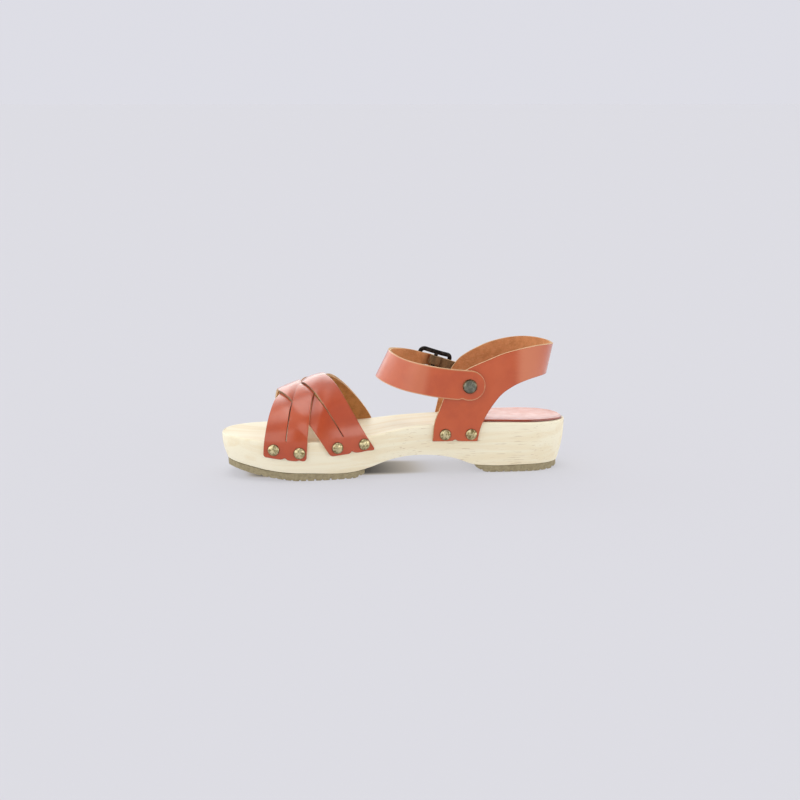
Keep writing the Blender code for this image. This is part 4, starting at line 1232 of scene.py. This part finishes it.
# %% Strap path
STRAP_HALF = 10.75
STRAP_COLUMNS = ("station", "across", "height", "lean")
STRAP_ROWS = (
    (63.9, -34.0, 64.3, 0.0),
    (75.0, -34.0, 65.4, 0.0),
    (87.0, -34.0, 66.5, 0.0),
    (98.0, -33.5, 68.0, 1.0),
    (109.0, -31.0, 70.0, 3.0),
    (119.0, -26.3, 72.0, 8.0),
    (127.5, -18.6, 74.6, 17.0),
    (132.4, -8.0, 76.6, 25.0),
    (133.2, 2.5, 77.2, 26.5),
    (130.5, 13.0, 76.8, 23.0),
    (123.5, 22.3, 75.2, 16.0),
    (114.5, 28.4, 73.2, 8.0),
)
STRAP_SIT = -0.9
STRAP_RUN = (
    (16.5, -0.6),
    (11.5, -0.1),
    (6.4, 2.9),
    (2.6, 5.1),
    (0.0, 5.6),
    (-2.6, 5.1),
    (-6.4, 2.9),
    (-11.5, 0.4),
    (-20.0, 0.6),
    (-33.0, 1.0),
)
PATH_COLUMNS = ("length", "x", "y", "z", "width_x", "width_y", "width_z")


def strap_path():
    """Points and width directions down the ankle strap."""
    rows = [dict(zip(STRAP_COLUMNS, row)) for row in STRAP_ROWS]
    points = [world(row["station"], row["across"], row["height"]) for row in rows]
    widths = []
    for k, row in enumerate(rows):
        tangent = (points[min(k + 1, len(rows) - 1)] - points[max(k - 1, 0)]).normalized()
        upright = Vector((0.0, 0.0, 1.0)) - tangent.z * tangent
        widths.append(Matrix.Rotation(math.radians(row["lean"]), 3, tangent) @ upright.normalized())
    for along, outward in STRAP_RUN:
        points.append(at_buckle(along, STRAP_SIT, outward))
        widths.append(buckle_up)
    return points, widths


def path_template(points, widths):
    """The path's points and widths against the length along it."""
    lengths = [0.0]
    for first, second in zip(points, points[1:]):
        lengths.append(lengths[-1] + (second - first).length)
    rows = [(length, *point, *width) for length, point, width in zip(lengths, points, widths)]
    return Template(PATH_COLUMNS, rows), lengths[-1]


strap_points, strap_widths = strap_path()
strap_template, strap_length = path_template(strap_points, strap_widths)
print("strap length:", round(strap_length, 1))

# %% Strap and tab
STRAP_STEP = 1.3
AHEAD_STEP = 0.5
BAR_ROW = 4
END_TURNS = (4.0, 10.0, 18.0, 28.0, 40.0, 53.0, 66.0, 78.0)
STRAP_NOTCH = (15.5, 1.5, 1.0)
# Lengths along the ankle strap between which a painted highlight makes it paler
STRAP_HIGHLIGHT = (39.0, 62.0)
HIGHLIGHT_FADE = (6.0, 14.0)
NOTCH_POWER = 6
HIGHLIGHT_SHARE = 0.6
PUNCH_RADIUS = 1.25
PUNCH_SIDES = 20
PUNCH_TURN = math.radians(5.0)
PUNCH_PITCH = 9.0
PUNCH_STEPS = (-3, -2, -1, 1, 2, 3)
PRONG_ALONG = 4.8
PRONG_SLOT = (1.4, 8.2)
PRONG_SLOT_LEVELS = (-4.0, 12.0)
SLOT_HALF = 1.4
TAB_SLOT_HALF = 3.6
TAB_HALF = 10.0
TAB_LOOP = 2.9
TAB_LOOP_STEP = 15
TAB_RETURN = -3.4
TAB_REAR = -31.0
TAB_LIE = 2.5
TAB_DROP = 4.5
TAB_STEPS = 6
# Length of the tab's first stretch, round the fold, that shows the dark flesh outside as painted shade
TAB_SHADED_RUN = 9.0
TAB_RUN = ((-3.0, 1.95), (-6.0, 0.0), (-9.0, -2.0))


def ribbon_rows(length, half, rounded):
    """Lengths and half breadths down a strap, drawn in at its rounded ends."""
    ends = []
    for angle in END_TURNS:
        turn = math.radians(angle)
        ends.append((half * (1.0 - math.cos(turn)), half * math.sin(turn)))
    start = half if rounded else 0.0
    count = round((length - half - start) / STRAP_STEP)
    straight = [(float(along), half) for along in np.linspace(start, length - half, count)]
    last = [(length - along, breadth) for along, breadth in reversed(ends)]
    return (ends if rounded else []) + straight + last


def ribbon(
    name,
    points,
    widths,
    half,
    rounded,
    nodes,
    notch=None,
    highlight_span=(0.0, 0.0),
    shaded_run=0.0,
    grain=hide_grain,
    flesh=hide_flesh,
):
    """A leather strap along a path, with a round or square first end; a first stretch may take the flesh as
    painted shade.
    """
    template, length = path_template(points, widths)
    columns = [step / half for step in edge_columns((-half, half))]

    def place(part, row):
        along, breadth = row
        middle = Vector([template.at(axis, along) for axis in ("x", "y", "z")])
        width = Vector([template.at(axis, along) for axis in ("width_x", "width_y", "width_z")])
        cut = 0.0
        if notch:
            centre, reach, depth = notch
            cut = depth * math.exp(-(((along - centre) / reach) ** 2)) * max(-part, 0.0) ** NOTCH_POWER
        return middle + (part * breadth + cut) * width.normalized()

    rows = ribbon_rows(length, half, rounded)
    shape = bent_sheet(columns, rows, place)
    # painted highlight: a paler stretch between two lengths along the strap
    painted_highlight = shape.verts.layers.float.new("painted_highlight")
    for k, vert in enumerate(shape.verts):
        along = rows[k // len(columns)][0]
        start = eased((along - highlight_span[0]) / HIGHLIGHT_FADE[0])
        vert[painted_highlight] = HIGHLIGHT_SHARE * start * eased((highlight_span[1] - along) / HIGHLIGHT_FADE[1])
    for face in shape.faces:
        # painted shade: the first stretch takes the flesh finish on its outer face
        if rows[face.index // (len(columns) - 1)][0] < shaded_run:
            face.material_index = 1
    return leather_piece(name, shape, nodes, ANKLE_INSIDE, grain, flesh)


def punch_out(piece, cutters):
    """Cuts a piece with a mesh, keeps the result as its own mesh and removes the cutter."""
    bmesh.ops.recalc_face_normals(cutters, faces=cutters.faces)
    bmesh.ops.scale(cutters, vec=(MM, MM, MM), verts=cutters.verts)
    mesh = bpy.data.meshes.new("punch")
    for face in cutters.faces:
        face.material_index = 2
    cutters.to_mesh(mesh)
    cutters.free()
    for finish in piece.data.materials:
        mesh.materials.append(finish)
    punch = bpy.data.objects.new("punch", mesh)
    bpy.context.scene.collection.objects.link(punch)
    cut = piece.modifiers.new("punched", "BOOLEAN")
    cut.operation = "DIFFERENCE"
    cut.solver = "EXACT"
    cut.object = punch
    bpy.context.view_layer.update()
    result = piece.evaluated_get(bpy.context.evaluated_depsgraph_get())
    piece_mesh = bpy.data.meshes.new_from_object(result)
    piece.modifiers.clear()
    piece.data = piece_mesh
    bpy.data.objects.remove(punch)


def add_peg(cutters, middle, axis, radius, reach):
    """A round punch, turned a little so that none of its corners lies on the strap's middle line."""
    turn = Vector(axis).to_track_quat("Z", "Y").to_matrix().to_4x4()
    place = Matrix.Translation(middle) @ turn @ Matrix.Rotation(PUNCH_TURN, 4, "Z")
    bmesh.ops.create_cone(
        cutters,
        cap_ends=True,
        segments=PUNCH_SIDES,
        radius1=radius,
        radius2=radius,
        depth=2.0 * reach,
        matrix=place,
    )


def add_slot(cutters, first, last, low, high, half):
    """A square punch in the buckle's directions."""
    verts = bmesh.ops.create_cube(cutters, size=1.0)["verts"]
    for vert in verts:
        along = first + (vert.co.x + 0.5) * (last - first)
        outward = low + (vert.co.z + 0.5) * (high - low)
        vert.co = at_buckle(along, 2.0 * vert.co.y * half, outward)


def strap_frame(along):
    """A point on the strap's middle line and the direction through the leather there."""
    point = Vector([strap_template.at(axis, along) for axis in ("x", "y", "z")])
    ahead = Vector([strap_template.at(axis, along + AHEAD_STEP) for axis in ("x", "y", "z")])
    width = Vector([strap_template.at(axis, along) for axis in ("width_x", "width_y", "width_z")])
    return point, (ahead - point).cross(width).normalized()


bar_length = strap_length - sum(
    (at_buckle(a[0], 0.0, a[1]) - at_buckle(b[0], 0.0, b[1])).length
    for a, b in zip(STRAP_RUN[BAR_ROW:], STRAP_RUN[BAR_ROW + 1 :])
)
strap_ankle = ribbon(
    "strap_ankle",
    strap_points,
    strap_widths,
    STRAP_HALF,
    True,
    ["ankle_strap"],
    notch=STRAP_NOTCH,
    highlight_span=STRAP_HIGHLIGHT,
    grain=strap_grain,
)
cutters = bmesh.new()
add_slot(cutters, *PRONG_SLOT, *PRONG_SLOT_LEVELS, SLOT_HALF)
for step in PUNCH_STEPS:
    middle, through = strap_frame(bar_length - PRONG_ALONG - step * PUNCH_PITCH)
    add_peg(cutters, middle, through, PUNCH_RADIUS, 2.0 * LEATHER)
punch_out(strap_ankle, cutters)
rounded_edges(strap_ankle, STRAP_WEAR, 2)

tab_points = [at_buckle(TAB_RETURN, 0.0, -TAB_LOOP)]
for angle in range(-90, 91, TAB_LOOP_STEP):
    turn = math.radians(angle)
    tab_points.append(at_buckle(TAB_LOOP * math.cos(turn), 0.0, TAB_LOOP * math.sin(turn)))
tab_points += [at_buckle(along, 0.0, outward) for along, outward in TAB_RUN]
for along in np.linspace(TAB_RUN[-1][0] - TAB_DROP, TAB_REAR, TAB_STEPS):
    point = at_buckle(float(along), 0.0, 0.0)
    tab_points.append(Vector((point.x, HEEL_HALF + TAB_LIE + SIDE_SHIFT, point.z)))
tab_widths = [buckle_up] * len(tab_points)
tab_buckle = ribbon(
    "tab_buckle",
    tab_points,
    tab_widths,
    TAB_HALF,
    False,
    ["buckle_tab"],
    shaded_run=TAB_SHADED_RUN,
    flesh=tab_flesh_shaded,
)
cutters = bmesh.new()
tab_reach = TAB_LOOP + LEATHER
add_slot(cutters, -tab_reach, tab_reach, -tab_reach, tab_reach, TAB_SLOT_HALF)
punch_out(tab_buckle, cutters)
rounded_edges(tab_buckle, STRAP_WEAR, 2)
print("strap and tab:", len(strap_ankle.data.polygons), len(tab_buckle.data.polygons))

# %% [markdown]
# ## The heel pad
# A thin leather pad is glued on the heel of the footbed. It is dyed like the straps but paler, and left
# smooth and bare. Rings run out from its middle over the underside, up its thin edge and in again over the
# top, and two small rings round the top edge over.

# %% Heel pad
PAD_INSET = 1.8
PAD_THICK = 1.6
PAD_SHOULDER = 72.0
PAD_FRONT = 80.0
PAD_SPINE = (17.0, 68.0)
PAD_RINGS = (
    (0.0, 0.0),
    (0.6, 0.0),
    (0.97, 0.0),
    (1.0, 0.0),
    (1.0, 0.7),
    (0.992, 0.92),
    (0.975, 1.0),
    (0.93, 1.0),
    (0.85, 1.0),
    (0.7, 1.0),
    (0.5, 1.0),
    (0.25, 1.0),
    (0.0, 1.0),
)
PAD_EDGE_ROWS = (3, 4)
PAD_TURN_STEP = 5
PAD_SIDE_STEPS = 20
PAD_FRONT_STEPS = 25
PAD_TONES = ((0.480, 0.112, 0.070), (0.520, 0.138, 0.088), (0.560, 0.172, 0.114))
PAD_EDGE_TONES = ((0.200, 0.025, 0.012), (0.280, 0.040, 0.020), (0.330, 0.060, 0.030))
PAD_EDGE_GLOSS = 0.55
PAD_COAT = 0.60

pad_turns = [math.radians(angle) for angle in range(0, 90, PAD_TURN_STEP)]
pad_back = [PAD_INSET + (HEEL_CAP - PAD_INSET) * (1.0 - math.cos(turn)) for turn in pad_turns]
pad_stations = pad_back + [float(s) for s in np.linspace(HEEL_CAP, PAD_SHOULDER, PAD_SIDE_STEPS)]
pad_outer = [Vector((s, edge_across(s, OUTER, PAD_INSET), 0.0)) for s in pad_stations]
pad_inner = [Vector((s, edge_across(s, INNER, PAD_INSET), 0.0)) for s in reversed(pad_stations[1:])]
pad_front = []
for turn in np.linspace(0.0, math.pi, PAD_FRONT_STEPS)[1:-1]:
    across = pad_inner[0].y + (pad_outer[-1].y - pad_inner[0].y) * (1.0 + math.cos(turn)) / 2.0
    pad_front.append(Vector((PAD_SHOULDER + (PAD_FRONT - PAD_SHOULDER) * math.sin(turn), across, 0.0)))
pad_loop = pad_outer + pad_front + pad_inner


def pad_place(k, ring):
    """Point k of a ring of the pad."""
    part, lift = ring
    point = pad_loop[k % len(pad_loop)]
    spine = Vector((min(max(point.x, PAD_SPINE[0]), PAD_SPINE[1]), 0.0, 0.0))
    point = spine.lerp(point, part)
    return world(point.x, point.y, footbed(point.x, point.y) + FIT_GAP + lift * PAD_THICK)


pad_grain = grain_leather("pad_grain", *PAD_TONES, HIDE_RIM, HIDE_GLOSS, coat=PAD_COAT)
pad_edge = grain_leather("pad_edge", *PAD_EDGE_TONES, HIDE_RIM, PAD_EDGE_GLOSS)
shape = bent_sheet(range(len(pad_loop) + 1), PAD_RINGS, pad_place)
for face in shape.faces:
    if face.index // len(pad_loop) in PAD_EDGE_ROWS:
        face.material_index = 1
shape = closed_shell(shape)
rim = shape.verts.layers.float.new("rim")
for vert in shape.verts:
    vert[rim] = RIM_REACH
pad_heel = as_piece("pad_heel", shape, [pad_grain, pad_edge], ["heel_pad"], sharp_angle=50.0)
print("pad faces:", len(pad_heel.data.polygons))

# %% [markdown]
# ## The buckle
# A bent wire frame with rounded corners, bowed so that the strap lies under its ends, with a centre bar and
# a prong. Wire is an oval swept along a path, so a grid is rolled up round the path's points. The bows are
# shallow, and one fixed direction is enough to keep the tube from twisting.


# %% Buckle frame and prong
def swept_wire(path, half_in, half_out, out, closed=False, sides=14):
    """An oval wire along points; out is the direction that its half_out thickness follows."""
    count = len(path)

    def place(angle, k):
        ahead = path[(k + 1) % count] if closed else path[min(k + 1, count - 1)]
        behind = path[k - 1] if closed or k > 0 else path[0]
        side = (ahead - behind).normalized().cross(out).normalized()
        return path[k] + half_in * math.cos(angle) * side + half_out * math.sin(angle) * out

    angles = [2.0 * math.pi * k / sides for k in range(sides + 1)]
    rows = range(count + 1) if closed else range(count)
    return bent_sheet(angles, rows, lambda angle, k: place(angle, k % count))


BUCKLE_REACH = 12.05
BUCKLE_SHIFT = -0.55
BUCKLE_SPAN = 13.0
BUCKLE_CORNER = 3.0
BUCKLE_BOW = 3.6
FRAME_HALF = (1.65, 1.4)
BAR_HALF = (1.4, 1.4)
BAR_STEPS = 9
CORNER_TURNS = range(0, 91, 10)
SIDE_PARTS = (0.75, 0.5, 0.25, 0.0, -0.25, -0.5, -0.75)

frame_path = []
for corner in range(4):
    middle_along = (BUCKLE_REACH - BUCKLE_CORNER) * (1.0 if corner in (0, 3) else -1.0)
    middle_across = (BUCKLE_SPAN - BUCKLE_CORNER) * (1.0 if corner in (0, 1) else -1.0)
    for angle in CORNER_TURNS:
        turn = math.radians(90.0 * corner + angle)
        frame_along = middle_along + BUCKLE_CORNER * math.cos(turn)
        frame_path.append((frame_along, middle_across + BUCKLE_CORNER * math.sin(turn)))
    if corner in (0, 2):
        side_across = frame_path[-1][1]
        frame_path += [(part * middle_along, side_across) for part in SIDE_PARTS]
frame_points = []
for along, span in frame_path:
    frame_points.append(at_buckle(along + BUCKLE_SHIFT, span, BUCKLE_BOW * (along / BUCKLE_REACH) ** 2))
shape = closed_shell(swept_wire(frame_points, *FRAME_HALF, buckle_out, closed=True))
bar_spans = np.linspace(-BUCKLE_SPAN, BUCKLE_SPAN, BAR_STEPS)
bar_points = [at_buckle(0.0, float(span), 0.0) for span in bar_spans]
bar = closed_shell(swept_wire(bar_points, *BAR_HALF, buckle_out))
bar_mesh = bpy.data.meshes.new("bar")
bar.to_mesh(bar_mesh)
bar.free()
shape.from_mesh(bar_mesh)
bpy.data.meshes.remove(bar_mesh)
frame_buckle = as_piece("frame_buckle", shape, [black_steel], ["buckle_frame"], sharp_angle=60.0)

PRONG_RADIUS = 0.9
PRONG_DEEPER = 1.15
PRONG_HOOK = 2.8
PRONG_HOOK_TURNS = range(350, 100, -10)
PRONG_RUN = ((1.6, 3.0), (5.0, 4.7), (8.5, 6.0), (11.5, 6.5), (13.4, 6.5))
prong_path = []
for angle in PRONG_HOOK_TURNS:
    turn = math.radians(angle)
    prong_path.append((PRONG_HOOK * math.cos(turn), PRONG_HOOK * math.sin(turn)))
prong_points = [at_buckle(along, 0.0, outward) for along, outward in (*prong_path, *PRONG_RUN)]
shape = closed_shell(swept_wire(prong_points, PRONG_RADIUS, PRONG_RADIUS * PRONG_DEEPER, buckle_up))
prong_buckle = as_piece("prong_buckle", shape, [black_steel], ["buckle_prong"], sharp_angle=60.0)
print("buckle:", len(frame_buckle.data.polygons), "prong:", len(prong_buckle.data.polygons))

# %% [markdown]
# ## Rivets and nails
# Turned shapes: a profile of a few points is spun round its axis, as on a lathe. The rivets keep their post
# and their flat back, so the inside of the lugs is right too. The nail heads are hammered, which a small
# uneven lift of their points shows in the outline as well as in the shine. The dark ring round the edge of
# each nail head is partly its darker rim and partly painted contact shadow.


# %% Turned shapes
def turned(profile, sides, middle, axis):
    """A solid spun from (radius, height) pairs about an axis through a middle point."""
    shape = bmesh.new()
    verts = [shape.verts.new((radius, 0.0, height)) for radius, height in profile]
    for first, second in zip(verts, verts[1:]):
        shape.edges.new((first, second))
    bmesh.ops.spin(
        shape,
        geom=shape.edges[:],
        axis=(0.0, 0.0, 1.0),
        cent=(0.0, 0.0, 0.0),
        angle=2.0 * math.pi,
        steps=sides,
        use_merge=True,
    )
    bmesh.ops.remove_doubles(shape, verts=shape.verts, dist=1e-4)
    bmesh.ops.recalc_face_normals(shape, faces=shape.faces)
    turn = Vector(axis).to_track_quat("Z", "Y").to_matrix().to_4x4()
    return shape, Matrix.Translation(middle) @ turn


RIVET_STATION = {INNER: 75.0, OUTER: 73.0}
RIVET_HEIGHT = {INNER: 64.8, OUTER: 60.8}
RIVET_CAP = 5.2
RIVET_RISE = {INNER: 2.0, OUTER: 1.4}
RIVET_POST = 1.6
RIVET_BACK = 4.2
RIVET_BACK_THICK = 0.8
RIVET_BACK_ROUND = 0.3
RIVET_BACK_DRAFT = 0.2
RIVET_BACK_SWELL = 0.15
RIVET_SIDES = 40
RIVET_DOME = (
    (0.0, 1.0),
    (0.35, 0.985),
    (0.6, 0.93),
    (0.75, 0.85),
    (0.82, 0.76),
    (0.85, 0.66),
    (0.89, 0.62),
    (0.95, 0.55),
    (0.99, 0.38),
    (1.0, 0.2),
    (1.0, 0.0),
)
RIVET_RING = 0.86

for side, name in SIDES.items():
    foot = HEEL_HALF + TAB_LIE + LEATHER / 2.0
    back_face = HEEL_HALF - LEATHER / 2.0
    profile = [(RIVET_CAP * r, foot + RIVET_RISE[side] * h + FIT_GAP * h) for r, h in RIVET_DOME]
    back_end = back_face - RIVET_BACK_THICK
    profile += [(RIVET_POST, foot), (RIVET_POST, back_face), (RIVET_BACK - RIVET_BACK_ROUND, back_face)]
    profile += [(RIVET_BACK, back_face - RIVET_BACK_ROUND), (RIVET_BACK - RIVET_BACK_DRAFT, back_end)]
    profile += [(0.0, back_end - RIVET_BACK_SWELL)]
    rivet_middle = world(RIVET_STATION[side], 0.0, RIVET_HEIGHT[side])
    shape, place = turned(profile, RIVET_SIDES, rivet_middle, (0.0, side, 0.0))
    for face in shape.faces:
        centre = face.calc_center_median()
        if math.hypot(centre.x, centre.y) > RIVET_RING * RIVET_CAP and centre.z >= foot:
            face.material_index = 1
    bmesh.ops.transform(shape, matrix=place, verts=shape.verts)
    finishes = [dark_nickel, bronze_ring_and_nail_shade]
    as_piece(f"cap_rivet_{name}", shape, finishes, [f"rivet_{name}"], sharp_angle=35.0)
print("rivets:", len(SIDES))

# %% Nails
NAIL_HEAD = 4.2
NAIL_RISE = 2.0
NAIL_SHANK = 1.0
NAIL_GRIP = 2.5
NAIL_POINT = 0.8
NAIL_SIDES = 28
NAIL_DOME = (
    (0.0, 1.0),
    (0.2, 0.985),
    (0.4, 0.94),
    (0.58, 0.86),
    (0.74, 0.72),
    (0.86, 0.54),
    (0.93, 0.34),
    (0.985, 0.15),
    (1.0, 0.05),
    (0.97, 0.0),
)
NAIL_DENT = 0.10
NAIL_DENT_FROM = 0.3
NAIL_SEED = 11
NAIL_SHADE_RIM = 0.94
NAIL_COLUMNS = ("station", "height", "outer_shift")
NAIL_ROWS = {
    "toe_front": (215.3, 23.8, 10.3),
    "toe_rear": (197.8, 21.5, 10.3),
    "ball_front": (171.1, 24.2, 8.7),
    "ball_rear": (151.9, 25.6, 8.7),
    "heel_front": (92.0, 29.6, 7.5),
    "heel_rear": (73.1, 29.4, 7.5),
}

dents = np.random.default_rng(NAIL_SEED)
for lug, row in NAIL_ROWS.items():
    nail = dict(zip(NAIL_COLUMNS, row))
    for side, name in SIDES.items():
        station = nail["station"] - (nail["outer_shift"] if side == OUTER else 0.0)
        wall = wall_point(station, side, nail["height"])
        outward = unit_normal(lambda s, z: wall_point(s, side, z), station, nail["height"])
        outward = outward if outward.y * side > 0.0 else -outward
        seat = LUG_GAP + LEATHER
        profile = [(NAIL_HEAD * r, seat + (NAIL_RISE + FIT_GAP) * h) for r, h in NAIL_DOME]
        profile += [(NAIL_SHANK, seat), (NAIL_SHANK, -NAIL_GRIP), (0.0, -NAIL_GRIP - NAIL_POINT)]
        shape, place = turned(profile, NAIL_SIDES, wall, outward)
        for vert in shape.verts:
            if vert.co.z > seat + NAIL_DENT_FROM:
                vert.co.z += NAIL_DENT * float(dents.uniform(-1.0, 1.0))
        for face in shape.faces:
            # dark ring at the head's edge: partly its darker rim, partly painted contact shadow
            centre = face.calc_center_median()
            if math.hypot(centre.x, centre.y) > NAIL_SHADE_RIM * NAIL_HEAD:
                face.material_index = 1
        bmesh.ops.transform(shape, matrix=place, verts=shape.verts)
        finishes = [antique_brass, bronze_ring_and_nail_shade]
        as_piece(f"head_{name}_{lug}", shape, finishes, [f"nail_{name}_{lug}"])
print("nails:", 2 * len(NAIL_ROWS))

# %% [markdown]
# ## Floor
# A single large pale sheet that catches the soft shadow. A faint glow brings it to the tone of the far
# wall. Close under the treads the glow is held back as painted shade, tinted warm, where hardly any light of
# the room gets in. The sheet isn't part of the sandal.

# %% Floor
FLOOR_HALF = 60.0
FLOOR_COLOUR = (0.230, 0.236, 0.260)
FLOOR_GLOW = 0.45
GLOW_COLOUR = (1.012, 0.998, 1.058)
# Painted shade: the glow is held back under the treads and turns warm there
GLOW_SHADE = (0.860, 0.770, 0.670)
BALL_SHADE = (-0.041, 0.042)
HEEL_SHADE = (0.062, 0.074)
TREAD_SIDE = (0.016, 0.029)
SOLE_END = (0.090, 0.114)
SHADE_FULL = 0.4

floor_finish, tree, shader, where = new_finish("floor_paper", 0.9)
shader.inputs["Base Color"].default_value = (*FLOOR_COLOUR, 1.0)
shader.inputs["Specular IOR Level"].default_value = 0.0
axes = tree.nodes.new("ShaderNodeSeparateXYZ")
tree.links.new(where, axes.inputs[0])
across = reckon(tree, "ABSOLUTE", axes.outputs["Y"])
from_middle = reckon(tree, "ABSOLUTE", axes.outputs["X"])
ball = spread(tree, axes.outputs["X"], *BALL_SHADE, 1.0, 0.0)
heel = spread(tree, axes.outputs["X"], *HEEL_SHADE)
treads = reckon(tree, "ADD", ball, heel)
# painted shade under the treads, where the glow is held back
tread_painted_shade = reckon(tree, "MULTIPLY", spread(tree, across, *TREAD_SIDE, 1.0, 0.0), treads)
tread_painted_shade = reckon(tree, "MULTIPLY", tread_painted_shade, spread(tree, from_middle, *SOLE_END, 1.0, 0.0))
glow = tint(tree, spread(tree, tread_painted_shade, 0.0, SHADE_FULL), GLOW_COLOUR, GLOW_SHADE)
tree.links.new(glow, shader.inputs["Emission Color"])
tree.links.new(spread(tree, tread_painted_shade, 0.0, 1.0, FLOOR_GLOW, 0.0), shader.inputs["Emission Strength"])
floor_shape = bmesh.new()
bmesh.ops.create_grid(floor_shape, x_segments=1, y_segments=1, size=FLOOR_HALF)
floor_mesh = bpy.data.meshes.new("floor_sheet")
floor_shape.to_mesh(floor_mesh)
floor_shape.free()
floor_mesh.materials.append(floor_finish)
floor_sheet = bpy.data.objects.new("floor_sheet", floor_mesh)
bpy.context.scene.collection.objects.link(floor_sheet)
print("floor:", 2.0 * FLOOR_HALF)
